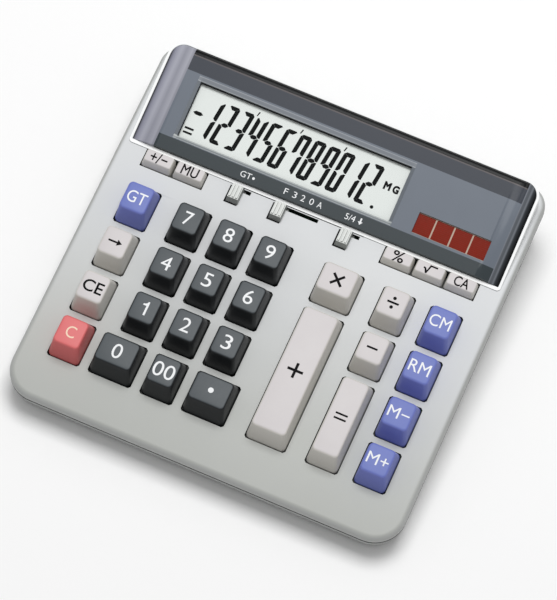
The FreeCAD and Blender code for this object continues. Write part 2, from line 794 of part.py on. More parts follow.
def make_main_key(node, x, y, width, depth):
    body = deck_body(node, x, y)
    half_width = "(%s) / 2 - key_gap" % width
    half_depth = "(%s) / 2 - key_gap" % depth
    insets = ("side_inset", "front_inset", "back_inset")
    cap = tapered_block(body, "cap", ("0", "0"), "0", "key_height", half_width, half_depth, insets)
    doc.recompute()
    slanted = edges_where(cap, lambda edge: abs(edge.Vertexes[0].Z - edge.Vertexes[1].Z) > 1)
    dress_edges(body, "Chamfer", "cap_corners", cap, slanted, "key_corner")
    skirt = box(body, "skirt", "-(%s)" % half_width, "-(%s)" % half_depth, "-key_bottom",
                "2 * (%s)" % half_width, "2 * (%s)" % half_depth, "key_bottom")
    doc.recompute()
    upright = edges_where(skirt, lambda edge: is_upright(edge) and edge.CenterOfMass.z < 0)
    dress_edges(body, "Chamfer", "skirt_corners", skirt, upright, "skirt_corner")
    inside_insets = ("side_inset / 2", "front_inset / 2", "back_inset / 2")
    key_core(body, "-key_bottom", "key_height", half_width + " - key_wall - side_inset / 2",
             half_depth + " - key_wall - front_inset / 2", inside_insets, "key_roof", half_depth)


def make_small_key(node, x, y, width, depth):
    body = deck_body(node, x, y)
    half_width = "(%s) / 2 - key_gap" % width
    half_depth = "(%s) / 2 - key_gap" % depth
    insets = ("small_side_inset", "small_front_inset", "small_back_inset")
    cap = tapered_block(body, "cap", ("0", "0"), "0", "small_key_height", half_width, half_depth, insets)
    doc.recompute()
    slanted = edges_where(cap, lambda edge: abs(edge.Vertexes[0].Z - edge.Vertexes[1].Z) > 1)
    dress_edges(body, "Chamfer", "cap_corners", cap, slanted, "small_key_corner")
    box(body, "skirt", "-(%s)" % half_width, "-(%s)" % half_depth, "-key_bottom",
        "2 * (%s)" % half_width, "2 * (%s)" % half_depth, "key_bottom")
    key_core(body, "-key_bottom", "small_key_height", half_width + " - key_wall", half_depth + " - key_wall",
             ("small_side_inset", "small_front_inset", "small_back_inset"), "small_key_roof", half_depth)


# Slide switches

def make_switch_knob(name, x):
    body = deck_body(name + "_knob", x, "slot_y")
    front = "(knob_front - slot_y)"
    length = "(knob_back - knob_front)"
    insets = ("knob_side_inset", "knob_front_inset", "knob_side_inset")
    tapered_block(body, "cap", ("0", "(knob_front + knob_back) / 2 - slot_y"), "knob_lift", "knob_height",
                  "knob_width / 2", length + " / 2", insets)
    for i in (-1, 0, 1):
        box(body, "rib_%d" % (i + 1), "%d * knob_rib_pitch - knob_rib_width / 2" % i,
            front + " + knob_front_inset + knob_rib_front", "knob_height - knob_rib_sink", "knob_rib_width",
            length + " - knob_front_inset - knob_rib_front - knob_rib_back",
            "knob_rib_sink + knob_rib_height")
    box(body, "neck", "-neck_width / 2", "-neck_depth / 2", "-wall - neck_root", "neck_width", "neck_depth",
        "wall + 2 * neck_root + knob_lift")
    box(body, "carrier", "-carrier_length / 2", "-carrier_depth / 2", "-wall - carrier_gap - carrier_height",
        "carrier_length", "carrier_depth", "carrier_height")


def make_switch_wiper(name, x):
    """A sprung contact under the carrier, with one leg that reaches the board."""
    body = deck_body(name + "_wiper", x, "slot_y")
    half = value_of("wiper_thickness / 2")
    under_carrier = -value_of("wall + carrier_gap + carrier_height") - half
    on_board = -value_of("mat_top + mat_thickness - wiper_gap") + half
    strip(body, "leaf", [(-sizes["wiper_tip"], on_board + sizes["wiper_curl"]),
                         (-sizes["wiper_touch"], on_board),
                         (-sizes["wiper_bend"], under_carrier),
                         (sizes["wiper_bend"], under_carrier)], "wiper_thickness", "wiper_width")


# Display

end_drop = "cover_front_height / cos(display_angle)"


def end_section(body, name, y):
    """What one end of the display cover is rounded off by, at a distance up its slope."""
    sketch = new_sketch(body, name, "XZ_Plane", z="-(%s)" % y)
    deep = value_of(end_drop)
    wide = value_of("cover_half_width")
    inner = wide - value_of("cover_end")
    spare = sizes["end_cut_spare"]
    radius = ((wide - inner) ** 2 + deep ** 2) / (2 * deep)
    sweep = math.asin((wide - inner) / radius)
    round_end = Part.Circle(vector(inner, -radius), upwards, radius)
    corners = [vector(wide, -deep), vector(wide + spare, -deep), vector(wide + spare, spare),
               vector(inner, spare), vector(inner, 0)]
    sketch.addGeometry([
        Part.ArcOfCircle(round_end, math.pi / 2 - sweep, math.pi / 2),
        Part.LineSegment(corners[4], corners[3]),
        Part.LineSegment(corners[3], corners[2]),
        Part.LineSegment(corners[2], corners[1]),
        Part.LineSegment(corners[1], corners[0]),
    ], False)
    sketch.addConstraint([
        rule("Coincident", 1, 2, 2, 1), rule("Coincident", 2, 2, 3, 1), rule("Coincident", 3, 2, 4, 1),
        rule("Coincident", 4, 2, 0, 1), rule("Vertical", 1), rule("Horizontal", 2), rule("Vertical", 3),
        rule("Horizontal", 4), rule("PointOnObject", 0, 2, -1), rule("Perpendicular", 0, 2, 1, 1),
    ])
    size_constraint(sketch, rule("DistanceX", 4, 2, 4, 1, spare), "beside", "end_cut_spare")
    size_constraint(sketch, rule("DistanceY", 1, 1, 1, 2, spare), "above", "end_cut_spare")
    size_constraint(sketch, rule("DistanceX", -1, 1, 0, 1, wide), "reach", "cover_half_width")
    size_constraint(sketch, rule("DistanceX", -1, 1, 0, 2, inner), "flat", "cover_half_width - cover_end")
    size_constraint(sketch, rule("DistanceY", 0, 1, -1, 1, deep), "depth", end_drop)
    return sketch


def make_display_cover():
    body = display_body("display_cover")
    profile = new_sketch(body, "side_profile", "YZ_Plane")
    foot_y = "cover_length * cos(display_angle) - cover_front_height * sin(display_angle)"
    foot_z = "-cover_length * sin(display_angle) - cover_front_height * cos(display_angle)"
    polygons(profile, [[
        ("0", "0"),
        ("-cover_front_height * sin(display_angle)", "-cover_front_height * cos(display_angle)"),
        (foot_y, foot_z),
        ("cover_length / cos(display_angle)", "0"),
    ]])
    block = pad(body, "wedge", profile, "2 * cover_half_width", both_ways=True)
    doc.recompute()
    back_y = value_of("cover_length / 2")
    tall_corners = edges_where(block, lambda edge: edge.CenterOfMass.y > back_y
                               and abs(edge.Vertexes[0].Z - edge.Vertexes[1].Z) > 1
                               and abs(edge.Vertexes[0].X - edge.Vertexes[1].X) < 1e-3
                               and edge.Length < back_y)
    corners = dress_edges(body, "Fillet", "back_corners", block, tall_corners, "cover_back_corner")
    doc.recompute()
    back_top = edges_where(corners, lambda edge: abs(edge.CenterOfMass.z) < 1e-3
                           and edge.CenterOfMass.y > 1.8 * back_y)
    dress_edges(body, "Fillet", "back_edge", corners, back_top, "cover_back_edge")
    front_end = end_section(body, "end_front", "-overshoot")
    back_end = end_section(body, "end_back", "cover_length / cos(display_angle) + overshoot")
    right_end = ruled_loft(body, "SubtractiveLoft", "right_end", front_end, back_end)
    left_end = new_feature(body, "Mirrored", "left_end")
    left_end.Originals = [right_end]
    left_end.MirrorPlane = (origin_item(body, "YZ_Plane"), [""])
    body.Tip = left_end
    inside = new_sketch(body, "inside_profile", "YZ_Plane")
    polygons(inside, [[
        ("cover_wall", "-cover_wall"),
        ("cover_wall", "-2 * cover_length"),
        ("cover_length - cover_back_wall", "-2 * cover_length"),
        ("cover_length - cover_back_wall", "-cover_wall"),
    ]])
    pocket(body, "inside", inside, "2 * cover_inside", both_ways=True)
    window_centre = ("lcd_window_width / 2 - lcd_window_left", "lcd_window_start + lcd_window_height / 2")
    tapered_block(body, "display_window_bevel", window_centre, "-window_lip - 0.01", "0.01",
                  "lcd_window_width / 2", "lcd_window_height / 2",
                  ("-window_bevel", "-window_bevel", "-window_back_bevel"), cut=True)
    box(body, "window_seat", "-lcd_window_left - window_margin - window_fit",
        "lcd_window_start - window_margin - window_fit", "-3 * cover_wall",
        "lcd_window_width + 2 * (window_margin + window_fit)",
        "lcd_window_height + 2 * (window_margin + window_fit)", "3 * cover_wall - window_lip", cut=True)
    box(body, "solar_window", "solar_window_left", "solar_window_start", "-3 * cover_wall",
        "solar_window_width", "solar_window_height", "4 * cover_wall", cut=True)
    box(body, "solar_seat", "solar_window_left - solar_margin - window_fit",
        "solar_window_start - solar_margin - window_fit", "-3 * cover_wall",
        "solar_window_width + 2 * (solar_margin + window_fit)",
        "solar_window_height + 2 * (solar_margin + window_fit)", "3 * cover_wall - window_lip", cut=True)


def lcd_box(body, name, margin, top, thickness, cut=False):
    """A plate centred on the display window and larger by a margin, by its top's depth."""
    return box(body, name, "-lcd_window_left - (%s)" % margin, "lcd_window_start - (%s)" % margin,
               "-(%s) - (%s)" % (top, thickness), "lcd_window_width + 2 * (%s)" % margin,
               "lcd_window_height + 2 * (%s)" % margin, thickness, cut)


def make_display_stack():
    lcd_box(display_body("display_window"), "plate", "window_margin", "window_lip", "window_thickness")
    lcd_box(display_body("lcd_panel"), "glass", "lcd_margin", "lcd_depth", "lcd_thickness")
    frame = display_body("lcd_frame")
    lcd_box(frame, "tray", "lcd_margin + frame_margin", "lcd_depth", "frame_depth")
    lcd_box(frame, "glass_seat", "lcd_margin + window_fit", "lcd_depth - overshoot",
            "lcd_thickness + overshoot", cut=True)
    lcd_box(frame, "opening", "lcd_margin - frame_ledge", "lcd_depth", "frame_depth + overshoot", cut=True)
    box(display_body("solar_cell"), "cells", "solar_window_left - solar_margin",
        "solar_window_start - solar_margin", "-window_lip - solar_thickness",
        "solar_window_width + 2 * solar_margin", "solar_window_height + 2 * solar_margin", "solar_thickness")


def point_on_deck(y, z):
    """Where on the deck a point lies that is given up the display cover's slope and square to it."""
    turn = math.radians(sizes["display_angle"])
    return (sizes["cover_front"] + y * math.cos(turn) - z * math.sin(turn),
            sizes["cover_front_height"] + y * math.sin(turn) + z * math.cos(turn))


def make_hanging_lead(node, across, depth, width):
    """A flat lead from the back of a display part, by its depth in the cover, down onto the board."""
    half = sizes["lead_thickness"] / 2
    landing = -value_of("mat_top + mat_thickness") + half
    board_back = sizes["board_back"]
    grip = sizes["lead_grip"]
    along, above = point_on_deck(sizes["lead_start"], -value_of(depth) - half)
    body = deck_body(node, across)
    strip(body, "lead", [(along + grip, above + grip * math.tan(math.radians(sizes["display_angle"]))),
                         (along, above),
                         (along - grip, -sizes["lead_hang"]),
                         (board_back + 1.5 * grip, landing + sizes["lead_slack"]),
                         (board_back - 0.5 * grip, landing),
                         (board_back - grip, landing)], "lead_thickness", width)


def make_leads():
    make_hanging_lead("lcd_connector", "ribbon_x", "lcd_depth + lcd_thickness", "ribbon_width")
    make_hanging_lead("solar_leads", "solar_lead_x", "window_lip + solar_thickness", "lead_width")


# Electronics

def make_main_board():
    body = deck_body("main_board")
    box(body, "board", "-board_half_width", "board_front", "-mat_top - mat_thickness - board_thickness",
        "2 * board_half_width", "board_back - board_front", "board_thickness")
    posts(body, "screw_holes", board_bosses, "-2 * mat_top", "board_screw_radius", "2 * mat_top", cut=True,
          sides=8)
    chip = deck_body("processor_chip", "number_column_x + column_pitch", row_y(1))
    box(chip, "package", "-chip_side / 2", "-chip_side / 2",
        "-mat_top - mat_thickness - board_thickness - chip_thickness", "chip_side", "chip_side",
        "chip_thickness")
    screws = deck_body("board_screws")
    under = "-mat_top - mat_thickness - board_thickness"
    posts(screws, "heads", board_bosses, under + " - board_screw_head_height", "board_screw_head",
          "board_screw_head_height", sides=8)
    posts(screws, "shanks", board_bosses, under, "board_screw_radius", "board_screw_length", sides=8)


def make_key_mat():
    body = deck_body("key_mat")
    box(body, "sheet", "-mat_half_width", "mat_front", "-mat_top - mat_thickness", "2 * mat_half_width",
        "mat_back - mat_front", "mat_thickness")
    reach = "(boss_radius + boss_clearance)"
    cuts = [rectangle(x, y, "2 * " + reach, "2 * " + reach) for x, y in board_bosses]
    cuts.append(rectangle("mat_notch_width / 2 - mat_notch_left", "mat_back", "mat_notch_width",
                          "2 * (mat_back - mat_notch_front)"))
    openings = new_sketch(body, "opening_outlines")
    polygons(openings, cuts)
    pocket(body, "openings", openings, "2 * mat_top")
    keys = main_keys + small_keys
    for first in range(0, len(keys), 6):
        domes = new_sketch(body, "dome_outlines_%d" % first, z="-mat_top")
        polygons(domes, [rectangle(x, y, "dome_side", "dome_side") for name, x, y, width, depth
                         in keys[first:first + 6]])
        pad(body, "domes_%d" % first, domes, "dome_height")


# Battery

def make_battery():
    cell = level_body("button_cell", "cell_x", "cell_y")
    cylinder(cell, "can", "0", "0", "cell_bottom", "cell_radius", "cell_height")
    cover = level_body("battery_cover")
    box(cover, "plate", "bay_left + battery_cover_fit", "bay_front + battery_cover_fit", "foot_height",
        "bay_width - 2 * battery_cover_fit", "bay_depth - 2 * battery_cover_fit", "battery_cover_thickness")
    posts(cover, "screw_hole", [("cover_screw_x", "cell_y")], "0", "board_screw_radius", "bay_height",
          cut=True, sides=8)
    screw = level_body("battery_cover_screw", "cover_screw_x", "cell_y")
    centre = [("0", "0")]
    posts(screw, "head", centre, "foot_height - cover_screw_head_height", "board_screw_head",
          "cover_screw_head_height")
    posts(screw, "shank", centre, "foot_height", "board_screw_radius", "board_screw_length", sides=8)
    roof = value_of("foot_height + bay_height - bay_wall")
    half = sizes["contact_thickness"] / 2
    cell_top = value_of("cell_bottom + cell_height")
    cell_side = -sizes["cell_radius"]
    wall_side = value_of("bay_front + bay_ledge - cell_y")
    reach = sizes["contact_half_length"]
    upper = level_body("battery_top_contact", "cell_x", "cell_y")
    strip(upper, "leaf", [(-2 * reach, roof - half), (-reach, roof - half), (0, cell_top + half),
                          (reach, roof - sizes["contact_curl"])], "contact_thickness", "contact_width")
    edge = level_body("battery_side_contact", "cell_x", "cell_y")
    strip(edge, "leaf", [(wall_side + half, roof - sizes["contact_curl"]),
                         (wall_side + half, sizes["side_contact_top"]),
                         (cell_side - half, sizes["side_contact_touch"]),
                         (wall_side + sizes["contact_curl"], sizes["side_contact_foot"])],
          "contact_thickness", "contact_width")
    board_under = -value_of("mat_top + mat_thickness + board_thickness") - sizes["lead_thickness"] / 2
    turn = math.radians(sizes["deck_angle"])
    landing = sizes["board_back"] - sizes["battery_lead_landing"]
    board_y = sizes["deck_front_y"] + landing * math.cos(turn) - board_under * math.sin(turn)
    board_z = sizes["deck_front_height"] + landing * math.sin(turn) + board_under * math.cos(turn)
    top = value_of("foot_height + bay_height") + sizes["lead_thickness"] / 2
    grip = sizes["lead_grip"]
    leads = level_body("battery_leads", "cell_x")
    strip(leads, "leads", [(sizes["battery_lead_start"], top),
                           (sizes["battery_lead_bend"], top),
                           (sizes["battery_lead_drop"], sizes["battery_lead_low"]),
                           (board_y + 1.5 * grip, board_z - sizes["battery_lead_rise"]),
                           (board_y, board_z),
                           (board_y - grip, board_z - grip * math.tan(turn))],
          "lead_thickness", "lead_width")


make_upper_case()
make_lower_case()
make_case_screws()
make_rubber_feet()
make_display_cover()
make_display_stack()
for key in main_keys:
    make_main_key(*key)
for key in small_keys:
    make_small_key(*key)
for name, x, travel in switches:
    make_switch_knob(name, x)
    make_switch_wiper(name, x)
make_main_board()
make_key_mat()
make_leads()
make_battery()
doc.recompute()
for body in pieces:
    body.Tip.Refine = True
doc.recompute()

for item in doc.Objects:
    if "Invalid" in item.State or "Error" in item.State:
        raise SystemExit("%s failed: %s" % (item.Label, item.State))
for body in pieces:
    if body.Shape.isNull() or not body.Shape.isValid():
        raise SystemExit(body.Label + " has no valid shape")

os.makedirs("parts", exist_ok=True)
for body in pieces:
    body.Shape.exportStep("parts/%s.step" % body.Label)
whole = Part.makeCompound([body.Shape for body in pieces]).BoundBox
print("%d pieces, %.2f x %.2f x %.2f mm" % (len(pieces), whole.XLength, whole.YLength, whole.ZLength))
print("centre %.3f, %.3f, bottom %.3f" % (whole.Center.x, whole.Center.y, whole.ZMin))
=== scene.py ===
# Desktop calculator: how it looks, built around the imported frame.
import math

import bmesh
import bpy
from mathutils import Matrix, Vector


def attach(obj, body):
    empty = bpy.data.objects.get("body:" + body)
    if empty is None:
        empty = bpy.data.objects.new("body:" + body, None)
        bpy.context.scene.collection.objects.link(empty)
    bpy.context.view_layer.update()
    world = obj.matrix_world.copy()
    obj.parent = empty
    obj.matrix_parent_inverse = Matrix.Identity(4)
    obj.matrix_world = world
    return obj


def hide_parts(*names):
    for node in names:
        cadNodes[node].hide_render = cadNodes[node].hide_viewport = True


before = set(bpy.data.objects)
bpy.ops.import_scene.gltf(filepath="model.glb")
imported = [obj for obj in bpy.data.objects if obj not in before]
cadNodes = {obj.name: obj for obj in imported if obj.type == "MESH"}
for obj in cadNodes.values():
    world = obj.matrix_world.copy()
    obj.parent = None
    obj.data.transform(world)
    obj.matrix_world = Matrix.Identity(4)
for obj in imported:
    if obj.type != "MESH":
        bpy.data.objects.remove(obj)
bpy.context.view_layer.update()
mm = 0.001
print("frame loaded")


# Where the sloping faces lie, in mm and degrees.
slopes = {
    "deckFrontY": -87.5, "deckFrontHeight": 15.5, "deckSlope": 6.0,
    "coverFront": 125.1, "coverHeight": 2.6, "coverSlope": 16.0,
}


def slopedFrame(corner, slope):
    # X and Y lie in the sloping face and Z stands on it
    return Matrix.Translation(corner) @ Matrix.Rotation(math.radians(slope), 4, "X")


deckCorner = Vector((0, slopes["deckFrontY"] * mm, slopes["deckFrontHeight"] * mm))
deckFrame = slopedFrame(deckCorner, slopes["deckSlope"])
coverCorner = deckFrame @ Vector((0, slopes["coverFront"] * mm, slopes["coverHeight"] * mm))
coverFrame = slopedFrame(coverCorner, slopes["coverSlope"])


# Materials: the parts that several finishes share

def hexColour(code):
    # sRGB hex to the linear colour a socket wants
    parts = [int(code[i:i + 2], 16) / 255 for i in (0, 2, 4)]
    linear = [p / 12.92 if p <= 0.04045 else ((p + 0.055) / 1.055) ** 2.4 for p in parts]
    return linear + [1]


def addNode(tree, kind, settings=None, links=None):
    # lower-case settings are the node's own, the rest are its sockets
    node = tree.nodes.new(kind)
    for key, value in (settings or {}).items():
        if isinstance(key, str) and key[0].islower():
            setattr(node, key, value)
        else:
            node.inputs[key].default_value = value
    for socket, source in (links or {}).items():
        tree.links.new(source, node.inputs[socket])
    return node


def newMaterial(name):
    material = bpy.data.materials.new(name)
    material.use_nodes = True
    material.node_tree.nodes.clear()
    return material, material.node_tree


def ownPlace(tree):
    return addNode(tree, "ShaderNodeTexCoord").outputs["Object"]


def placeInFrame(tree, flatFace):
    # the piece's own coordinates, turned to lie along a sloping face and counted in mm
    back = flatFace.inverted()
    return addNode(tree, "ShaderNodeMapping",
                   {"vector_type": "POINT", "Location": back.translation / mm,
                    "Rotation": back.to_euler(), "Scale": (1 / mm, 1 / mm, 1 / mm)},
                   {"Vector": ownPlace(tree)}).outputs["Vector"]


grainDetail, driftDetail = 2.0, 3.0


def grain(tree, place, size, detail=grainDetail):
    # a noise whose lumps are about one size in mm across
    return addNode(tree, "ShaderNodeTexNoise", {"Scale": 1 / (size * mm), "Detail": detail},
                   {"Vector": place}).outputs["Fac"]


def mixTones(tree, share, first, second):
    # sockets 6 and 7 of a Mix node are its two colours; each is a hex code or a link
    node = addNode(tree, "ShaderNodeMix", {"data_type": "RGBA"}, {0: share})
    for socket, tone in ((6, first), (7, second)):
        if isinstance(tone, str):
            node.inputs[socket].default_value = hexColour(tone)
        else:
            tree.links.new(tone, node.inputs[socket])
    return node.outputs[2]


def stripes(tree, value, low, high, stops, blend="CONSTANT"):
    # colours that change at places in mm between low and high
    share = addNode(tree, "ShaderNodeMapRange", {"From Min": low, "From Max": high},
                    {"Value": value})
    node = addNode(tree, "ShaderNodeValToRGB", None, {"Fac": share.outputs["Result"]})
    ramp = node.color_ramp
    ramp.interpolation = blend
    while len(ramp.elements) < len(stops):
        ramp.elements.new(1.0)
    for element, (at, tone) in zip(ramp.elements, stops):
        element.position = (at - low) / (high - low)
        element.color = hexColour(tone)
    return node.outputs["Color"]


def finishSkin(tree, look, colour, lumps):
    # one grain breaks both the shine and the surface
    shine = addNode(tree, "ShaderNodeMapRange",
                    {"To Min": look["roughness"] - look["spread"],
                     "To Max": look["roughness"] + look["spread"]},
                    {"Value": lumps})
    bump = addNode(tree, "ShaderNodeBump",
                   {"Strength": look["relief"], "Distance": look["depth"] * mm},
                   {"Height": lumps})
    skin = addNode(tree, "ShaderNodeBsdfPrincipled", look["shader"],
                   {"Base Color": colour, "Roughness": shine.outputs["Result"],
                    "Normal": bump.outputs["Normal"]})
    addNode(tree, "ShaderNodeOutputMaterial", None, {"Surface": skin.outputs["BSDF"]})


# how squarely a face looks up from the deck, as a cosine, on a flank and on a flat top: painted flank
# shade is full at the first and gone at the second
facingRange = {"paintedShadeFlank": 0.8, "flat": 0.985}


def facingDeck(tree):
    # 1 where a face lies square to the deck, falling to 0 on its flanks: the mask for painted flank
    # shade
    deckNormal = deckFrame.to_3x3() @ Vector((0, 0, 1))
    normal = addNode(tree, "ShaderNodeNewGeometry").outputs["Normal"]
    along = addNode(tree, "ShaderNodeVectorMath", {"operation": "DOT_PRODUCT", 1: deckNormal},
                    {0: normal})
    return addNode(tree, "ShaderNodeMapRange",
                   {"From Min": facingRange["paintedShadeFlank"], "From Max": facingRange["flat"]},
                   {"Value": along.outputs["Value"]}).outputs["Result"]


def plainFinish(name, tones, look):
    # two close tones drift over the piece. A third, where given, is painted shade on its flanks; for
    # some plastics it hardly differs
    material, tree = newMaterial(name)
    place = ownPlace(tree)
    colour = mixTones(tree, grain(tree, place, look["driftSize"], driftDetail), tones[0], tones[1])
    if len(tones) == 3:
        colour = mixTones(tree, facingDeck(tree), tones[2], colour)
    finishSkin(tree, look, colour, grain(tree, place, look["grainSize"]))
    return material


# ABS moulded in a spark-etched tool: a matt skin whose fine pits scatter the light softly.
# The real pits are about 0.05 mm, drawn coarser here so that they show
caseLook = {"driftSize": 30, "grainSize": 0.5, "roughness": 0.5, "spread": 0.06, "relief": 0.22,
            "depth": 0.02, "shader": {"IOR": 1.53}}
keyLook = {"driftSize": 9, "grainSize": 0.6, "roughness": 0.42, "spread": 0.06, "relief": 0.2,
           "depth": 0.02, "shader": {"IOR": 1.53, "Specular IOR Level": 0.25}}
# silk-screen ink: an even, slightly chalky film
inkLook = {"driftSize": 4, "grainSize": 0.3, "roughness": 0.55, "spread": 0.05, "relief": 0.1,
           "depth": 0.004, "shader": {"IOR": 1.5, "Specular IOR Level": 0.06}}

# key and knob plastics: the third tone is painted shade on the flanks
slateAbs = plainFinish("absMouldedSlateKey", ("4a5054", "454b4f", "202224"), keyLook)
lightAbs = plainFinish("absMouldedLightKey", ("d0cccc", "cac5c6", "cdcac4"), keyLook)
blueAbs = plainFinish("absMouldedBlueKey", ("6d7abf", "6673b7", "7079c0"), keyLook)
redAbs = plainFinish("absMouldedRedKey", ("e07475", "d86c6d", "d06a6a"), keyLook)
knobAbs = plainFinish("absMouldedKnob", ("dfe1de", "d2d5d2", "8e918e"), keyLook)
inkWhite = plainFinish("screenInkWhite", ("f4f5f6", "eceef0"), inkLook)
inkCream = plainFinish("screenInkCream", ("f6dcc4", "efd4bb"), inkLook)
inkBlack = plainFinish("screenInkBlack", ("060607", "0a0a0b"), inkLook)
# matt near-black for painted shade: the shadow lines at the glass, beside the knobs and along the deck
paintedShadeBlack = plainFinish("screenInkFrameLine", ("0c0d0e", "131415"), inkLook)
# liquid crystal that blocks the light: dead black under the front polariser
segmentInk = plainFinish("liquidCrystalSegment", ("0c0f0f", "121515"), inkLook)
# anti-glare polariser over the reflector: an even pale green-grey that hardly shines
lcdGlass = plainFinish("polariserAntiGlare", ("edf2ef", "e6ebe8"), {
    "driftSize": 45, "grainSize": 0.35, "roughness": 0.45, "spread": 0.05, "relief": 0.08,
    "depth": 0.004, "shader": {"IOR": 1.5, "Specular IOR Level": 0.2}})
# the cell's printed electrode, which shows between its films: a dull warm tan
solarEdge = plainFinish("amorphousCellElectrode", ("b39a86", "a08a78"), {
    "driftSize": 5, "grainSize": 0.3, "roughness": 0.4, "spread": 0.08, "relief": 0.1, "depth": 0.006,
    "shader": {"IOR": 1.5}})
# natural rubber, pressed in a mould: dull, with a soft sheen at grazing angles
rubberBlack = plainFinish("rubberPressedBlack", ("222324", "2a2b2c"), {
    "driftSize": 6, "grainSize": 0.4, "roughness": 0.8, "spread": 0.06, "relief": 0.4, "depth": 0.05,
    "shader": {"IOR": 1.52, "Sheen Weight": 0.15}})
# silicone, pressed in a mould: a soft grey skin with a faint bloom
siliconeGrey = plainFinish("siliconePressedGrey", ("b9bcb6", "aeb1ab"), {
    "driftSize": 12, "grainSize": 0.5, "roughness": 0.65, "spread": 0.06, "relief": 0.2, "depth": 0.03,
    "shader": {"IOR": 1.42, "Sheen Weight": 0.1}})
# the same ABS in off-white, for pieces that stay out of sight
innerAbs = plainFinish("absMouldedInnerWhite", ("cfd0cd", "c6c7c4"), caseLook)
# epoxy moulded round the chip: near black, with a fine gritty skin
epoxyBlack = plainFinish("epoxyMouldedChip", ("1b1c1e", "232426"), {
    "driftSize": 5, "grainSize": 0.2, "roughness": 0.6, "spread": 0.06, "relief": 0.3, "depth": 0.02,
    "shader": {"IOR": 1.55}})
# zinc and nickel plated on steel: bright, with a slight bloom where the plating is thin
steelZinc = plainFinish("steelZincPlated", ("bcc0c4", "9fa3a8"), {
    "driftSize": 2, "grainSize": 0.15, "roughness": 0.3, "spread": 0.08, "relief": 0.15, "depth": 0.01,
    "shader": {"Metallic": 1.0}})
steelNickel = plainFinish("steelNickelPlated", ("c9c6bf", "b5b2ab"), {
    "driftSize": 4, "grainSize": 0.2, "roughness": 0.2, "spread": 0.05, "relief": 0.1, "depth": 0.006,
    "shader": {"Metallic": 1.0}})
# phosphor bronze rolled to strip and left bare: warm, and only half bright
springBronze = plainFinish("phosphorBronzeRolled", ("c59463", "ad7e50"), {
    "driftSize": 3, "grainSize": 0.25, "roughness": 0.28, "spread": 0.07, "relief": 0.15,
    "depth": 0.008, "shader": {"Metallic": 1.0}})


def caseFinish(name, form):
    # painted light: the shell runs darker at its front and brighter towards its back, its flanks carry
    # painted shade, and above one level it takes a painted tone: a highlight on the lid, shade on the
    # tub
    material, tree = newMaterial(name)
    axes = addNode(tree, "ShaderNodeSeparateXYZ", None, {"Vector": placeInFrame(tree, deckFrame)})
    across, along, height = (axes.outputs[axis] for axis in "XYZ")
    run = stripes(tree, along, 0, form["length"], form["run"], "LINEAR")
    drift = grain(tree, ownPlace(tree), caseLook["driftSize"], driftDetail)
    share = addNode(tree, "ShaderNodeMapRange", {"To Max": form["drift"]}, {"Value": drift})
    runWithDrift = mixTones(tree, share.outputs["Result"], run, form["drifted"])
    ground = mixTones(tree, facingDeck(tree), form["paintedShadeFlank"], runWithDrift)
    lowest, highest = -form["deep"], form["tall"]
    above = stripes(tree, height, lowest, highest,
                    ((lowest, "000000"), (form["level"], "ffffff")))
    colour = mixTones(tree, above, ground, form["paintedShadingAboveLevel"])
    # painted shade: below the deck top, walls among the keys and switches are darkened
    if "gaps" in form:
        gaps = form["gaps"]
        front, back = gaps["along"]
        reach, side = form["reach"], gaps["across"]
        below = stripes(tree, height, lowest, highest,
                        ((lowest, "ffffff"), (gaps["top"], "000000")))
        amongKeys = stripes(tree, along, 0, form["length"],
                            ((0, "000000"), (front, "ffffff"), (back, "000000")))
        offSides = stripes(tree, across, -reach, reach,
                           ((-reach, "000000"), (-side, "ffffff"), (side, "000000")))
        shade = mixTones(tree, amongKeys, colour, mixTones(tree, offSides, colour, gaps["tone"]))
        colour = mixTones(tree, below, colour, shade)
    finishSkin(tree, caseLook, colour, grain(tree, ownPlace(tree), caseLook["grainSize"]))
    return material


# tones by place in mm up the deck, a painted light run that is darker at the front, and the level over
# the deck where the tone changes
lidTones = {
    "length": 175, "deep": 10, "tall": 20, "reach": 90,
    "run": ((0, "a5a7a2"), (28, "b3b5b1"), (80, "c9cbcc"), (125, "d4d6d8"), (175, "cdcfd0")),
    # the flank tone is painted shade on the lid's sides and roundings
    "drifted": "b9bcbb", "drift": 0.25, "paintedShadeFlank": "a8aaa8",
    # painted shade in the narrow gaps round the keys and switches
    "gaps": {"top": -0.3, "along": (4, 123.4), "across": 83, "tone": "2b2c2c"},
    # painted highlight: the wall round the display is painted brighter than the deck
    "level": 0.25, "paintedShadingAboveLevel": "f6f7f7",
}
tubTones = {
    "length": 175, "deep": 60, "tall": 20,
    # a painted light run, darker at the front, and painted shade on the flanks
    "run": ((0, "a3a5a1"), (60, "a9aba9"), (175, "b0b2b2")),
    "drifted": "979a99", "drift": 0.25, "paintedShadeFlank": "a3a5a3",
    # painted shade: the tongue inside the joint is painted dark
    "level": -4.75, "paintedShadingAboveLevel": "242626",
}
caseAbs = caseFinish("absMouldedLid", lidTones)
tubAbs = caseFinish("absMouldedTub", tubTones)


# at scale 1 the wave texture turns through this many radians in a unit of length
waveTurn = 20


def linedFinish(name, tones, lineTones, look):
    # straight lines at a real pitch in mm over two drifting tones. More share makes them wider
    material, tree = newMaterial(name)
    place = ownPlace(tree)
    ground = mixTones(tree, grain(tree, place, look["driftSize"], driftDetail), tones[0], tones[1])
    bands = addNode(tree, "ShaderNodeTexWave",
                    {"Scale": math.tau / (waveTurn * look["pitch"] * mm),
                     "bands_direction": look["lineAxis"]}, {"Vector": place})
    edge = addNode(tree, "ShaderNodeMath", {"operation": "GREATER_THAN", 1: 1 - look["share"]},
                   {0: bands.outputs["Fac"]})
    lines = mixTones(tree, grain(tree, place, look["grainSize"]), lineTones[0], lineTones[1])
    colour = mixTones(tree, edge.outputs["Value"], ground, lines)
    finishSkin(tree, look, colour, bands.outputs["Fac"])
    return material


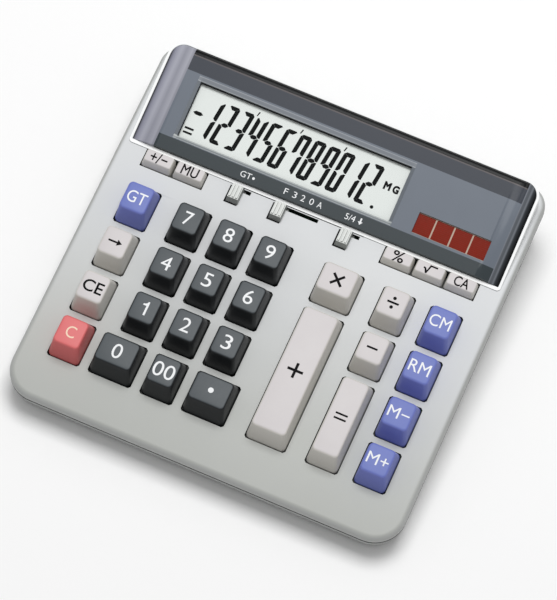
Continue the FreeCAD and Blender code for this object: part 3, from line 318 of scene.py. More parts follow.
# glass-fibre laminate under solder mask: deep green, with tinned tracks from front to back
boardLaminate = linedFinish("laminateSolderMask", ("1f5a3c", "1a5035"), ("3d7f5c", "4a8a68"), {
    "pitch": 2.5, "share": 0.3, "lineAxis": "X", "driftSize": 20, "grainSize": 0.5,
    "roughness": 0.35, "spread": 0.05, "relief": 0.3, "depth": 0.03, "shader": {"IOR": 1.55}})
# flat cable: tinned strips laminated in clear amber film
ribbonFilm = linedFinish("polyimideFlatCable", ("b0763a", "a56c33"), ("c9b79a", "bda98a"), {
    "pitch": 1.25, "share": 0.5, "lineAxis": "X", "driftSize": 8, "grainSize": 0.4,
    "roughness": 0.25, "spread": 0.05, "relief": 0.3, "depth": 0.03, "shader": {"IOR": 1.6}})
# thin-film silicon behind glass: brick red, with scribed lines between its strips
solarFilm = linedFinish("amorphousSiliconFilm", ("761f06", "861a06"), ("6d1b05", "7a1705"), {
    "pitch": 0.8, "share": 0.25, "lineAxis": "Y", "driftSize": 3, "grainSize": 0.4,
    "roughness": 0.22, "spread": 0.04, "relief": 0.05, "depth": 0.004,
    "shader": {"IOR": 1.5, "Specular IOR Level": 0.06}})

# Display cover: clear acrylic printed from behind, so the print lies flat under a smooth skin.
# Places are in mm up the cover and across it
coverPrint = {
    "length": 46.6, "reach": 85.3, "printLeft": -75.7, "printRight": 80.4,
    # the last two bands, a brownish line and black, are painted shade on the rounded back edge; the
    # rest is print
    "bands": ((0.0, "3d4447"), (5.9, "6f7680"), (36.5, "3f434b"), (43.3, "625d5e"), (43.7, "08090a")),
    # the ends carry the cover's lilac-grey tint with painted reflections on their curves and painted
    # shade at the outer edges
    "ends": ((-85.3, "15161a"), (-84.9, "6c6d76"), (-84.2, "9091a0"), (-81.6, "adaeb9"),
             (-79.2, "9495a0"), (-76.6, "a5a6b0"), (-75.7, "8d8e98"), (80.4, "989ca6"),
             (80.9, "5d6167"), (82.1, "585c61"), (82.7, "777b82"), (83.2, "3a3e42"),
             (84.4, "1a1c1e"), (85.3, "0e0f10")),
    "clouds": 0.1, "cloudTone": "3a3d42",
    "look": {"driftSize": 14, "grainSize": 0.7, "roughness": 0.26, "spread": 0.03, "relief": 0.04,
             "depth": 0.004, "shader": {"IOR": 1.49, "Specular IOR Level": 0.12}},
}


def printedCover(name, form):
    material, tree = newMaterial(name)
    place = placeInFrame(tree, coverFrame)
    axes = addNode(tree, "ShaderNodeSeparateXYZ", None, {"Vector": place})
    across, along = axes.outputs["X"], axes.outputs["Y"]
    reach, look = form["reach"], form["look"]
    # the bands are print, with painted shade at the back edge
    middle = stripes(tree, along, 0, form["length"], form["bands"])
    # painted reflections and shade on the curved ends, over their tint
    ends = stripes(tree, across, -reach, reach, form["ends"], "LINEAR")
    outside = stripes(tree, across, -reach, reach,
                      ((-reach, "ffffff"), (form["printLeft"], "000000"),
                       (form["printRight"], "ffffff")))
    printWithPaintedSheen = mixTones(tree, outside, middle, ends)
    # this place counts in mm where grain counts in metres, so the size is divided by mm
    clouds = grain(tree, place, look["driftSize"] / mm, driftDetail)
    cloudy = addNode(tree, "ShaderNodeMapRange", {"To Max": form["clouds"]}, {"Value": clouds})
    colour = mixTones(tree, cloudy.outputs["Result"], printWithPaintedSheen, form["cloudTone"])
    finishSkin(tree, look, colour, grain(tree, ownPlace(tree), look["grainSize"]))
    return material


coverAcrylic = printedCover("acrylicPrintedCover", coverPrint)


def stripedBezel(name, form):
    material, tree = newMaterial(name)
    along = addNode(tree, "ShaderNodeSeparateXYZ", None, {"Vector": placeInFrame(tree, coverFrame)})
    colour = stripes(tree, along.outputs["Y"], 0, coverPrint["length"], form["bands"])
    finishSkin(tree, form["look"], colour, grain(tree, ownPlace(tree), form["look"]["grainSize"]))
    return material


# ABS moulded in steps round the glass: the light and dark lines on its steps are painted highlight and
# painted shade
bezelSteps = {
    "bands": ((0.0, "9a9fa1"), (6.45, "70767a"), (7.1, "a3a8a8"), (8.0, "656b72"), (33.5, "a5aaae"),
              (33.9, "80858c"), (35.4, "9da2a8")),
    "look": {"grainSize": 0.5, "roughness": 0.35, "spread": 0.04, "relief": 0.08, "depth": 0.006,
             "shader": {"IOR": 1.53, "Specular IOR Level": 0.35}},
}
bezelAbs = stripedBezel("absMouldedBezel", bezelSteps)


# clear moulded acrylic, dulled by wiping: nearly all light goes through, only a soft gloss shows
windowLook = {"Base Color": hexColour("101414"), "Roughness": 0.3, "IOR": 1.49,
              "Specular IOR Level": 0.1, "Alpha": 0.02}


def clearWindow(name):
    material, tree = newMaterial(name)
    skin = addNode(tree, "ShaderNodeBsdfPrincipled", windowLook)
    addNode(tree, "ShaderNodeOutputMaterial", None, {"Surface": skin.outputs["BSDF"]})
    return material


windowAcrylic = clearWindow("acrylicMouldedClear")
print("materials made")


# Small helpers for modelling

closeMm = 0.01  # places nearer than this are the same place
weldMm = 0.001  # corners nearer than this become one
facesAlong = 0.9  # the least cosine of a face that looks along an axis
standsUp = 0.5  # the least cosine of an edge that stands
smoothAngle = 30  # in degrees


def makeActive(piece):
    bpy.ops.object.select_all(action="DESELECT")
    piece.select_set(True)
    bpy.context.view_layer.objects.active = piece


def startBlock(name, size, centre):
    # a block at its size and place in mm, left in edit mode
    bpy.ops.object.select_all(action="DESELECT")
    bpy.ops.mesh.primitive_cube_add(size=1, location=[c * mm for c in centre],
                                    scale=[s * mm for s in size])
    piece = bpy.context.object
    piece.name = piece.data.name = name
    bpy.ops.object.transform_apply(location=True, rotation=True, scale=True)
    bpy.ops.object.mode_set(mode="EDIT")
    return piece


def startOutline(name, corners, thick=0.0):
    # a flat face on the given corners in mm, given a thickness upwards where one is asked for
    bpy.ops.object.select_all(action="DESELECT")
    bpy.ops.mesh.primitive_circle_add(vertices=len(corners), fill_type="NGON")
    piece = bpy.context.object
    piece.name = piece.data.name = name
    for vertex, (x, y) in zip(piece.data.vertices, corners):
        vertex.co = (x * mm, y * mm, 0)
    bpy.ops.object.mode_set(mode="EDIT")
    if thick:
        bpy.ops.mesh.select_all(action="SELECT")
        bpy.ops.mesh.extrude_region_move(TRANSFORM_OT_translate={"value": (0, 0, thick * mm)})
        bpy.ops.mesh.select_all(action="SELECT")
        bpy.ops.mesh.normals_make_consistent(inside=False)
    return piece


def pick(piece, kind, wanted):
    # selects in edit mode what the test wants, by its middle in mm and its direction
    bpy.ops.mesh.select_mode(type=kind)
    bpy.ops.mesh.select_all(action="DESELECT")
    shape = bmesh.from_edit_mesh(piece.data)
    if kind == "FACE":
        for face in shape.faces:
            if wanted(face.calc_center_median() / mm, face.normal):
                face.select_set(True)
    else:
        for edge in shape.edges:
            start, end = (corner.co for corner in edge.verts)
            if wanted((start + end) / 2 / mm, (end - start).normalized()):
                edge.select_set(True)
    bmesh.update_edit_mesh(piece.data)


def cutAt(along, place):
    # cuts the whole piece across one axis, place in mm
    bpy.ops.mesh.select_all(action="SELECT")
    bpy.ops.mesh.bisect(plane_co=[a * place * mm for a in along], plane_no=along)


def layInFrame(piece, place):
    # the place goes into the mesh and the object stays at the origin
    if piece.mode == "EDIT":
        bpy.ops.object.mode_set(mode="OBJECT")
    makeActive(piece)
    piece.matrix_world = place
    bpy.ops.object.transform_apply(location=True, rotation=True, scale=True)


def atPoint(flatFace, x, y, z=0.0):
    return flatFace @ Matrix.Translation((x * mm, y * mm, z * mm))


def dress(piece, material, body, stands=()):
    piece.data.materials.clear()
    piece.data.materials.append(material)
    makeActive(piece)
    bpy.ops.object.shade_smooth_by_angle(angle=math.radians(smoothAngle))
    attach(piece, body)
    if stands:
        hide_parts(*stands)


def copyOf(master, name):
    twin = master.copy()
    twin.data = master.data.copy()
    twin.name = twin.data.name = name
    bpy.context.scene.collection.objects.link(twin)
    return twin


def joined(pieces, name):
    bpy.ops.object.select_all(action="DESELECT")
    for piece in pieces:
        piece.select_set(True)
    bpy.context.view_layer.objects.active = pieces[0]
    if len(pieces) > 1:
        bpy.ops.object.join()
    whole = bpy.context.object
    whole.name = whole.data.name = name
    return whole


# Printed words and signs

inkDepth = 0.02
# how far ink spreads past a letter's outline, as a share of the letters' size
inkSpread = {"darkLegends": 0.014, "glassMarks": 0.06}
letterSteps = 5  # how finely a letter's curves are drawn


def circleCorners(x, y, radius, count=20):
    turns = [math.tau * i / count for i in range(count)]
    return [(x + radius * math.cos(t), y + radius * math.sin(t)) for t in turns]


def barCorners(x, y, wide, high):
    return [(x - wide / 2, y - high / 2), (x + wide / 2, y - high / 2),
            (x + wide / 2, y + high / 2), (x - wide / 2, y + high / 2)]


def crossCorners(reach, half, turn):
    corners = []
    for quarter in range(4):
        angle = math.radians(turn + 90 * quarter)
        for along, aside in ((reach, -half), (reach, half), (half, half)):
            corners.append((along * math.cos(angle) - aside * math.sin(angle),
                            along * math.sin(angle) + aside * math.cos(angle)))
    return corners


# signs that a typeface draws too thin or too plain here, as outlines in mm about their middle
signs = {
    "1": [[(0.35, -3.15), (1.25, -3.15), (1.25, 3.15), (0.62, 3.15), (0.25, 2.35), (-0.45, 1.95),
           (-1.2, 1.85), (-1.2, 1.15), (0.35, 1.15)]],
    "→": [[(-3.1, -0.42), (0.9, -0.42), (0.9, -1.45), (3.1, 0), (0.9, 1.45), (0.9, 0.42),
           (-3.1, 0.42)]],
    "↓": [[(-0.35, 1.5), (-0.35, -0.1), (-1.1, -0.1), (0, -1.5), (1.1, -0.1), (0.35, -0.1),
           (0.35, 1.5)]],
    "√": [[(-3.0, -0.2), (-2.7, 0.5), (-1.85, 0.15), (-1.2, -0.95), (-0.45, 2.0), (3.0, 2.0),
           (3.0, 1.25), (0.15, 1.25), (-0.9, -2.3), (-1.55, -2.3), (-2.3, -0.55)]],
    "+": [crossCorners(3.5, 0.6, 0)],
    "×": [crossCorners(3.5, 0.58, 45)],
    "−": [barCorners(0, 0, 4.8, 0.9)],
    "=": [barCorners(0, 1.1, 5.4, 0.85), barCorners(0, -1.1, 5.4, 0.85)],
    "÷": [barCorners(0, 0, 5.2, 0.95), circleCorners(0, 2.1, 0.78), circleCorners(0, -2.1, 0.78)],
    "•": [circleCorners(0, 0, 1.2, 24)],
}


def printSign(name, sign, place, material, body, share=1.0):
    marks = []
    for outline in signs[sign]:
        mark = startOutline(name, [(x * share, y * share) for x, y in outline], inkDepth)
        bpy.ops.object.mode_set(mode="OBJECT")
        marks.append(mark)
    piece = joined(marks, name)
    layInFrame(piece, place)
    dress(piece, material, body)


def printWords(name, words, size, place, material, body, spread=0):
    # words become a thin layer of ink, fitted to their measured width and height
    bpy.ops.object.select_all(action="DESELECT")
    bpy.ops.object.text_add(location=(0, 0, 0))
    text = bpy.context.object
    text.data.body = words
    text.data.resolution_u = letterSteps
    text.data.bevel_depth = spread
    text.data.bevel_resolution = 0
    bpy.ops.object.convert(target="MESH")
    piece = bpy.context.object
    piece.name = piece.data.name = name
    corners = [v.co for v in piece.data.vertices]
    low = Vector([min(c[axis] for c in corners) for axis in range(3)])
    high = Vector([max(c[axis] for c in corners) for axis in range(3)])
    wide, tall = size
    rise = inkDepth * mm / (high.z - low.z) if spread else 1
    fit = Matrix.Diagonal((wide * mm / (high.x - low.x), tall * mm / (high.y - low.y), rise, 1))
    middle = Vector(((low.x + high.x) / 2, (low.y + high.y) / 2, low.z))
    piece.data.transform(fit @ Matrix.Translation(-middle))
    bpy.ops.object.mode_set(mode="EDIT")
    bpy.ops.mesh.select_all(action="SELECT")
    bpy.ops.mesh.remove_doubles(threshold=weldMm * mm)
    if not spread:
        bpy.ops.mesh.extrude_region_move(TRANSFORM_OT_translate={"value": (0, 0, inkDepth * mm)})
    bpy.ops.mesh.select_all(action="SELECT")
    bpy.ops.mesh.normals_make_consistent(inside=False)
    layInFrame(piece, place)
    dress(piece, material, body)


# Key caps

# in mm: the leans are how far the sides draw in towards the top. The inside draws in as they do,
# and then to the share called hollow
capForm = {
    "lip": 0.5, "corner": 1.9, "sideLean": 1.2, "frontLean": 3.3, "backLean": 2.6, "soft": 0.75,
    "skirt": 3.1, "wall": 1.3, "roof": 1.8, "hollow": 0.95, "stem": 3.0, "ledge": 0.2, "press": 2.1,
    "cornerSteps": 5, "softSteps": 4,
}
lowCapForm = {
    **capForm, "corner": 0.9, "sideLean": 0.6, "frontLean": 1.6, "backLean": 0.4, "soft": 0.35,
    "wall": 0.9, "roof": 1.2, "stem": 2.2,
}
lowCapTop = 5  # a cap that ends below this over the deck is a low one
stopsBelow = -1  # a cap's stops stand out below this


def deckBox(node):
    # lowest and highest corner of a cap in the deck's own flat frame, in mm. The width and depth are
    # taken above the stops
    toDeck = deckFrame.inverted()
    points = [toDeck @ v.co / mm for v in cadNodes[node].data.vertices]
    shown = [p for p in points if p.z > stopsBelow]
    low = [min(p[axis] for p in shown) for axis in (0, 1)] + [min(p.z for p in points)]
    high = [max(p[axis] for p in shown) for axis in (0, 1)] + [max(p.z for p in points)]
    return low, high


def topShift(form):
    # how far a cap's top lies behind the middle of its foot
    return (form["frontLean"] - form["backLean"]) / 2


def modelCap(name, width, depth, bottom, top, form):
    foot, ceiling = -form["skirt"], top - form["roof"]
    piece = startBlock(name, (width, depth, top - foot), (0, 0, (top + foot) / 2))
    cutAt((0, 0, 1), form["lip"])
    pick(piece, "FACE", lambda at, facing: facing.z > facesAlong)
    across = (width - 2 * form["sideLean"]) / width
    along = (depth - form["frontLean"] - form["backLean"]) / depth
    bpy.ops.transform.resize(value=(across, along, 1), center_override=(0, 0, top * mm))
    bpy.ops.transform.translate(value=(0, topShift(form) * mm, 0))
    pick(piece, "EDGE", lambda at, direction: abs(direction.z) > standsUp)
    bpy.ops.mesh.bevel(offset=form["corner"] * mm, segments=form["cornerSteps"], affect="EDGES")
    pick(piece, "EDGE", lambda at, direction: at.z > top - closeMm)
    bpy.ops.mesh.bevel(offset=form["soft"] * mm, segments=form["softSteps"], affect="EDGES")
    # the inside is hollow, and narrows with the outside
    pick(piece, "FACE", lambda at, facing: facing.z < -facesAlong)
    bpy.ops.mesh.inset(thickness=form["wall"] * mm)
    bpy.ops.mesh.extrude_region_move(
        TRANSFORM_OT_translate={"value": (0, topShift(form) * mm, (ceiling - foot) * mm)})
    across, along = across * form["hollow"], along * form["hollow"]
    bpy.ops.transform.resize(value=(across, along, 1), center_override=(0, 0, ceiling * mm))
    # a square stem hangs over the dome. It is shorter by the press, because the frame's dome stays
    # up where a silicone one folds
    bpy.ops.mesh.inset(thickness=form["ledge"] * mm)
    insideWidth = (width - 2 * form["wall"]) * across - 2 * form["ledge"]
    insideDepth = (depth - 2 * form["wall"]) * along - 2 * form["ledge"]
    bpy.ops.transform.resize(value=(form["stem"] / insideWidth, form["stem"] / insideDepth, 1),
                             center_override=(0, topShift(form) * mm, ceiling * mm))
    bpy.ops.mesh.extrude_region_move(
        TRANSFORM_OT_translate={"value": (0, 0, (bottom + form["press"] - ceiling) * mm)})
    bpy.ops.object.mode_set(mode="OBJECT")
    return piece


# each key's legend, with its width and height in mm where it is set in type
legends = {
    "key_seven": ("7", 3.9, 6.2), "key_eight": ("8", 4.2, 6.5), "key_nine": ("9", 4.2, 6.5),
    "key_four": ("4", 4.4, 6.3), "key_five": ("5", 4.1, 6.4), "key_six": ("6", 4.2, 6.5),
    "key_one": ("1",), "key_two": ("2", 4.1, 6.4), "key_three": ("3", 4.1, 6.5),
    "key_zero": ("0", 4.3, 6.6), "key_double_zero": ("00", 9.6, 6.6), "key_point": ("•",),
    "key_grand_total": ("GT", 8.6, 5.5), "key_backspace": ("→",),
    "key_clear_entry": ("CE", 9.0, 5.5), "key_clear": ("C", 4.2, 5.3),
    "key_multiply": ("×",), "key_divide": ("÷",), "key_minus": ("−",), "key_plus": ("+",),
    "key_equals": ("=",), "key_memory_clear": ("CM", 9.4, 5.4), "key_memory_recall": ("RM", 9.2, 5.4),
    "key_memory_minus": ("M−", 9.4, 5.0), "key_memory_plus": ("M+", 9.4, 5.0),
    "key_sign_change": ("+/−", 7.8, 5.0), "key_mark_up": ("MU", 7.6, 4.8),
    "key_percent": ("%", 5.2, 5.2), "key_root": ("√",), "key_clear_all": ("CA", 6.8, 4.7),
}
slateKeys = {"key_seven", "key_eight", "key_nine", "key_four", "key_five", "key_six", "key_one",
             "key_two", "key_three", "key_zero", "key_double_zero", "key_point"}
blueKeys = {"key_grand_total", "key_memory_clear", "key_memory_recall", "key_memory_minus",
            "key_memory_plus"}


def finishOf(node):
    # plastic, ink and slot of a key
    if node in slateKeys:
        return slateAbs, inkWhite, "number_key"
    if node in blueKeys:
        return blueAbs, inkWhite, "memory_key"
    if node == "key_clear":
        return redAbs, inkCream, "clear_key"
    return lightAbs, inkBlack, "light_key"


capMasters = {}
for node, legend in legends.items():
    low, top = deckBox(node)
    width, depth = (round(top[axis] - low[axis], 2) for axis in (0, 1))
    form = lowCapForm if top[2] < lowCapTop else capForm
    if (width, depth) not in capMasters:
        capMasters[width, depth] = modelCap("capMaster", width, depth, low[2], top[2], form)
    plastic, ink, slotName = finishOf(node)
    title = "".join(part.capitalize() for part in node.split("_")[1:])
    cap = copyOf(capMasters[width, depth], "cap" + title)
    x, y = ((low[axis] + top[axis]) / 2 for axis in (0, 1))
    layInFrame(cap, atPoint(deckFrame, x, y))
    dress(cap, plastic, node, [node])
    face = atPoint(deckFrame, x, y + topShift(form), top[2])
    if len(legend) == 1:
        printSign("ink" + title, legend[0], face, ink, node)
    else:
        spread = inkSpread["darkLegends"] if ink == inkBlack else 0
        printWords("ink" + title, legend[0], legend[1:], face, ink, node, spread)
for master in capMasters.values():
    bpy.data.objects.remove(master)
print("key caps and legends made")


# Display: the stepped lip round the glass

# in mm across, up and into the cover
lipForm = {
    "left": -69.1, "right": 32.8, "front": 6.3, "back": 35.84,
    "glassLeft": -67.5, "glassRight": 31.2, "glassFront": 7.9, "glassBack": 33.6,
    "sink": 1.0, "lift": 0.04, "step": 0.25, "stepDepth": 0.35, "sheet": 0.03,
    "line": 0.65, "sideLine": 0.35, "lineLift": 0.01,
}


def modelLip(form):
    # a sheet is cut to the glass, its middle taken out and its inner edge pushed down to the glass
    outer = [(form["left"], form["front"]), (form["right"], form["front"]),
             (form["right"], form["back"]), (form["left"], form["back"])]
    piece = startOutline("lcdLip", outer)
    stepsAcross = (form["glassLeft"] - form["step"], form["glassLeft"], form["glassRight"],
                   form["glassRight"] + form["step"])
    stepsAlong = (form["glassFront"] - form["step"], form["glassFront"], form["glassBack"],
                  form["glassBack"] + form["step"])
    for place in stepsAcross:
        cutAt((1, 0, 0), place)
    for place in stepsAlong:
        cutAt((0, 1, 0), place)
    pick(piece, "FACE", lambda at, facing: form["glassLeft"] < at.x < form["glassRight"]
         and form["glassFront"] < at.y < form["glassBack"])
    bpy.ops.mesh.delete(type="FACE")
    shape = bmesh.from_edit_mesh(piece.data)
    for corner in shape.verts:
        x, y = corner.co.x / mm, corner.co.y / mm
        onGlass = (form["glassLeft"] - closeMm < x < form["glassRight"] + closeMm
                   and form["glassFront"] - closeMm < y < form["glassBack"] + closeMm)
        onStep = (stepsAcross[0] - closeMm < x < stepsAcross[-1] + closeMm
                  and stepsAlong[0] - closeMm < y < stepsAlong[-1] + closeMm)
        drop = form["sink"] if onGlass else form["stepDepth"] if onStep else -form["lift"]
        corner.co.z = -drop * mm
    bmesh.update_edit_mesh(piece.data)
    bpy.ops.object.mode_set(mode="OBJECT")
    makeActive(piece)
    solid = piece.modifiers.new("Solidify", "SOLIDIFY")
    solid.thickness = form["sheet"] * mm
    solid.offset = 1
    bpy.ops.object.modifier_apply(modifier="Solidify")
    layInFrame(piece, coverFrame)
    dress(piece, bezelAbs, "housing")


def paintGlassShadowLines(form):
    # painted shadow: dark lines on the window along the back and left of the glass, where the
    # opening's edge shades it
    left, right = form["glassLeft"], form["glassRight"]
    front, back = form["glassFront"], form["glassBack"]
    wide, sideWide = form["line"], form["sideLine"]
    bars = (barCorners((left + right) / 2, back - wide / 2, right - left, wide),
            barCorners(left + sideWide / 2, (front + back - wide) / 2, sideWide, back - front - wide))
    lines = []
    for corners in bars:
        lines.append(startOutline("line", corners, inkDepth))
        bpy.ops.object.mode_set(mode="OBJECT")
    piece = joined(lines, "lcdPaintedShadowLines")
    layInFrame(piece, atPoint(coverFrame, 0, 0, form["lineLift"] - form["sink"]))
    dress(piece, paintedShadeBlack, "housing")


modelLip(lipForm)
paintGlassShadowLines(lipForm)


# Display: seven-segment figures and small marks on the glass, all leaning the same way

figureForm = {
    "shown": "123456789012", "high": 18.8, "wide": 5.3, "stroke": 1.9, "gap": 0.015, "waist": 0.2,
    "pitch": 6.77, "lean": 0.125, "lastRight": 20.8, "base": 10.6, "depth": 2.25,
}
litSegments = {"0": "abcdef", "1": "bc", "2": "abged", "3": "abgcd", "4": "fgbc", "5": "afgcd",
               "6": "afgedc", "7": "abcf", "8": "abcdefg", "9": "abcdfg"}


def segmentOutlines(form):
    # outlines of the seven segments in one figure, with mitred ends and cut outer corners
    w, h, t = form["wide"], form["high"], form["stroke"]
    g, half, waist = form["gap"], form["high"] / 2, form["waist"]
    cut, mitre = t / 4, t / 2
    top = [(mitre, h), (cut + g, h - cut), (t + g, h - t), (w - t - g, h - t),
           (w - cut - g, h - cut), (w - mitre, h)]
    upperRight = [(w, h - mitre), (w - cut, h - cut - g), (w - t, h - t - g),
                  (w - t, half + mitre + waist), (w - mitre, half + waist), (w, half + waist)]
    middle = [(mitre + g, half), (t + g, half + mitre), (w - t - g, half + mitre),
              (w - mitre - g, half), (w - t - g, half - mitre), (t + g, half - mitre)]

    def flip(corners, sideways, upright):
        return [(w - x if sideways else x, h - y if upright else y) for x, y in corners]

    return {"a": top, "b": upperRight, "c": flip(upperRight, False, True), "d": flip(top, False, True),
            "e": flip(upperRight, True, True), "f": flip(upperRight, True, False), "g": middle}


# marks beside the figures, as outlines in mm across and up the glass: minus, equals and point
markOutlines = [
    [(-65.8, 20.6), (-64.6, 19.75), (-62.3, 19.75), (-61.1, 20.6), (-62.3, 21.45), (-64.6, 21.45)],
    barCorners(-64.35, 12.95, 4.2, 0.95), barCorners(-64.35, 10.9, 4.2, 0.95),
    circleCorners(21.9, 11.2, 0.8, 16),
]
apostropheOutline = [(0.45, 2.0), (-0.2, 2.0), (-0.7, 0.0), (-0.2, 0.0)]
apostrophePlaces = [(-39.0, 29.3), (-18.65, 29.3), (1.8, 29.3)]


def showFigures(form):
    shown = form["shown"]
    lean = Matrix.Identity(4)
    lean[0][1] = form["lean"]
    masters = {}
    for letter, corners in segmentOutlines(form).items():
        masters[letter] = startOutline("segment", corners, inkDepth)
        bpy.ops.object.mode_set(mode="OBJECT")
    parts = []
    for count, figure in enumerate(shown):
        right = form["lastRight"] - (len(shown) - 1 - count) * form["pitch"]
        left = right - form["lean"] * form["high"] - form["wide"]
        for letter in litSegments[figure]:
            bar = copyOf(masters[letter], "segment")
            bar.data.transform(Matrix.Translation((left * mm, form["base"] * mm, 0)) @ lean)
            parts.append(bar)
    for master in masters.values():
        bpy.data.objects.remove(master)
    outlines = markOutlines + [[(x + right, y + up) for x, y in apostropheOutline]
                               for right, up in apostrophePlaces]
    for corners in outlines:
        parts.append(startOutline("mark", corners, inkDepth))
        bpy.ops.object.mode_set(mode="OBJECT")
    piece = joined(parts, "lcdFigures")
    layInFrame(piece, atPoint(coverFrame, 0, 0, -form["depth"]))
    dress(piece, segmentInk, "housing")


showFigures(figureForm)
glassLetters = (("lcdMemoryMark", "M", 24.6, 22.3, 3.2, 3.7),
                ("lcdTotalMark", "G", 28.6, 22.1, 2.9, 3.7))
for name, letter, x, y, wide, high in glassLetters:
    place = atPoint(coverFrame, x, y, -figureForm["depth"])
    printWords(name, letter, (wide, high), place, segmentInk, "housing", inkSpread["glassMarks"])


# Display: four solar cells behind their own opening

cellForm = {"left": 42.1, "front": 7.2, "wide": 33.2, "deep": 9.5, "count": 4, "gap": 0.7,
            "border": 0.35, "depth": 1.0, "thick": 0.05, "corner": 0.15, "cornerSteps": 2}


def modelCells(form):
    pitch = (form["wide"] + form["gap"]) / form["count"]
    size = (pitch - form["gap"], form["deep"] - 2 * form["border"], form["thick"])
    master = startBlock("cell", size, (0, 0, form["thick"] / 2))
    pick(master, "EDGE", lambda at, direction: abs(direction.z) > standsUp)
    bpy.ops.mesh.bevel(offset=form["corner"] * mm, segments=form["cornerSteps"], affect="EDGES")
    bpy.ops.object.mode_set(mode="OBJECT")
    cells = []
    for count in range(form["count"]):
        cell = copyOf(master, "cell")
        x = form["left"] + size[0] / 2 + count * pitch
        cell.data.transform(Matrix.Translation((x * mm, (form["front"] + form["deep"] / 2) * mm, 0)))
        cells.append(cell)
    bpy.data.objects.remove(master)
    piece = joined(cells, "solarFilms")
    layInFrame(piece, atPoint(coverFrame, 0, 0, -form["depth"]))
    dress(piece, solarFilm, "housing")


modelCells(cellForm)


# Slide switches: legends on the cover's front band

# words with their place across, width and height in mm; signs with their place and share of full size
switchBand = {
    "middle": 3.0,
    "words": (("switchTotal", "GT", -33.05, 5.0, 2.7), ("switchFloat", "F", -14.25, 1.7, 2.7),
              ("switchThree", "3", -10.15, 1.8, 2.8), ("switchTwo", "2", -6.35, 1.8, 2.8),
              ("switchZero", "0", -2.35, 1.9, 2.8), ("switchAdd", "A", 1.45, 2.2, 2.7),
              ("switchRound", "5/4", 15.65, 4.6, 2.8)),
    "signs": (("switchDot", "•", -29.45, -0.2, 0.5), ("switchDown", "↓", 20.35, 0.0, 1.0)),
}
for name, words, x, wide, high in switchBand["words"]:
    place = atPoint(coverFrame, x, switchBand["middle"])
    printWords(name, words, (wide, high), place, inkWhite, "housing")
for name, sign, x, rise, share in switchBand["signs"]:
    place = atPoint(coverFrame, x, switchBand["middle"] + rise)
    printSign(name, sign, place, inkWhite, "housing", share)

# painted shade: a dark plate along each knob's left and front stands for the shade in the gap under
# it, and slides with it
knobPaintedShadeForm = {
    "knobs": (("total", -34.1), ("decimal", -14.1), ("rounding", 16.6)), "left": 3.6, "right": 2.5,
    "front": 114.3, "back": 122.6, "sideWide": 0.8, "frontWide": 0.6, "lift": 0.05,
}
for title, x in knobPaintedShadeForm["knobs"]:
    left, right = x - knobPaintedShadeForm["left"], x + knobPaintedShadeForm["right"]
    front, back = knobPaintedShadeForm["front"], knobPaintedShadeForm["back"]
    inner, upper = left + knobPaintedShadeForm["sideWide"], front + knobPaintedShadeForm["frontWide"]
    gap = startOutline(title + "KnobPaintedShade", [(left, front), (right, front), (right, upper),
                                           (inner, upper), (inner, back), (left, back)], inkDepth)
    layInFrame(gap, atPoint(deckFrame, 0, 0, knobPaintedShadeForm["lift"]))
    dress(gap, paintedShadeBlack, title + "_switch")

# painted shade: the dark line where the deck meets the cover, along the switches, stands for the shade
# in the groove there
shadeLine = {"left": -33.4, "right": 24.0, "along": 123.35, "wide": 0.42}
middle = (shadeLine["left"] + shadeLine["right"]) / 2
length = shadeLine["right"] - shadeLine["left"]
line = startOutline("deckPaintedShadeLine", barCorners(middle, shadeLine["along"], length, shadeLine["wide"]),
                    inkDepth)
layInFrame(line, deckFrame)
dress(line, paintedShadeBlack, "housing")
print("display made")


# The CAD nodes that stay get their finishes, and those in sight a soft edge

# by the record's slots; of what is moulded in the light plastic, only the knobs stay
slotMaterials = {
    "case": caseAbs, "cover": coverAcrylic, "window": windowAcrylic, "lcd": lcdGlass,
    "inner_plastic": innerAbs, "ribbon": ribbonFilm, "solar": solarEdge, "copper": springBronze,
    "board": boardLaminate, "chip": epoxyBlack, "mat": siliconeGrey, "screw": steelZinc,
    "foot": rubberBlack, "cell": steelNickel, "spring_metal": springBronze, "light_key": knobAbs,
}
tubNodes = ("lower_case", "battery_cover")
# width of the edge in mm, its steps, and the least turn in degrees between the faces of such an edge
softEdges = {"upper_case": 0.22, "lower_case": 0.3, "display_cover": 0.12, "battery_cover": 0.2,
             "total_switch_knob": 0.12, "decimal_switch_knob": 0.12, "rounding_switch_knob": 0.12,
             "rubber_feet": 0.3}
edgeSteps, edgeTurn = 2, 38

for name, node in cadNodes.items():
    if node.hide_render:
        continue
    slotName = node.data.materials[0].name.split(".")[0]
    node.data.materials.clear()
    node.data.materials.append(tubAbs if name in tubNodes else slotMaterials[slotName])
    if name in softEdges:
        weld = node.modifiers.new("Weld", "WELD")
        weld.merge_threshold = weldMm * mm
        bevel = node.modifiers.new("Bevel", "BEVEL")
        bevel.width = softEdges[name] * mm
        bevel.segments = edgeSteps
        bevel.limit_method = "ANGLE"
        bevel.angle_limit = math.radians(edgeTurn)
        bevel.harden_normals = True
print("frame nodes dressed")


# Floor, light and camera

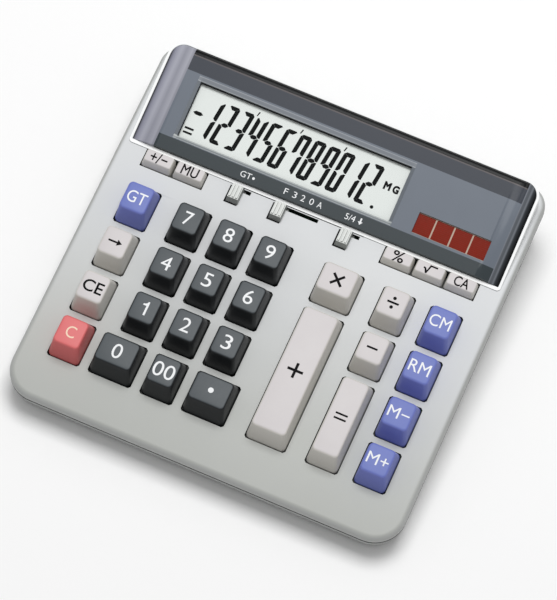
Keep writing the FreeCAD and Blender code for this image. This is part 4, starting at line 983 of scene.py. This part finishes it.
# in metres and watts
stageLook = {"floorSize": 6.0, "lampSize": 0.7, "lampPlace": (-0.03, 0.3, 1.3), "lampPower": 11.8,
             "skyColour": "ffffff", "skyStrength": 0.43}
bpy.ops.object.select_all(action="DESELECT")
bpy.ops.mesh.primitive_plane_add(size=stageLook["floorSize"], location=(0, 0, 0))
floor = bpy.context.object
floor.name = floor.data.name = "floor"
# matt paper backdrop: nearly white, with long soft clouds
floor.data.materials.append(plainFinish("paperBackdropMatt", ("fbfbfb", "f8f8f8"), {
    "driftSize": 300, "grainSize": 5, "roughness": 0.9, "spread": 0.03, "relief": 0.05, "depth": 0.01,
    "shader": {"IOR": 1.45, "Specular IOR Level": 0.1}}))

lampPlace = Vector(stageLook["lampPlace"])
bpy.ops.object.light_add(type="AREA", location=lampPlace)
lamp = bpy.context.object
lamp.name = "softBox"
lamp.data.size = stageLook["lampSize"]
lamp.data.energy = stageLook["lampPower"]
lamp.rotation_euler = lampPlace.to_track_quat("Z", "Y").to_euler()

world = bpy.data.worlds.new("paleRoom")
bpy.context.scene.world = world
world.use_nodes = True
sky = world.node_tree.nodes["Background"]
sky.inputs["Color"].default_value = hexColour(stageLook["skyColour"])
sky.inputs["Strength"].default_value = stageLook["skyStrength"]

# place in mm, turn in degrees, the focal length and the frame's width in pixels, the rest in mm
cameraLook = {"place": (210.0, -637.3, 1350.2), "turn": (26.501, -2.698, 23.594),
              "focalPixels": 3500, "frameWidth": 557, "sensor": 36.0, "sight": 20000}
bpy.ops.object.camera_add(location=[c * mm for c in cameraLook["place"]],
                          rotation=[math.radians(t) for t in cameraLook["turn"]])
camera = bpy.context.object
camera.name = "camera"
camera.data.sensor_fit = "HORIZONTAL"
camera.data.sensor_width = cameraLook["sensor"]
camera.data.lens = cameraLook["focalPixels"] / cameraLook["frameWidth"] * cameraLook["sensor"]
camera.data.clip_end = cameraLook["sight"] * mm
bpy.context.scene.camera = camera
bpy.context.scene.view_settings.view_transform = "Standard"
print("stage set")
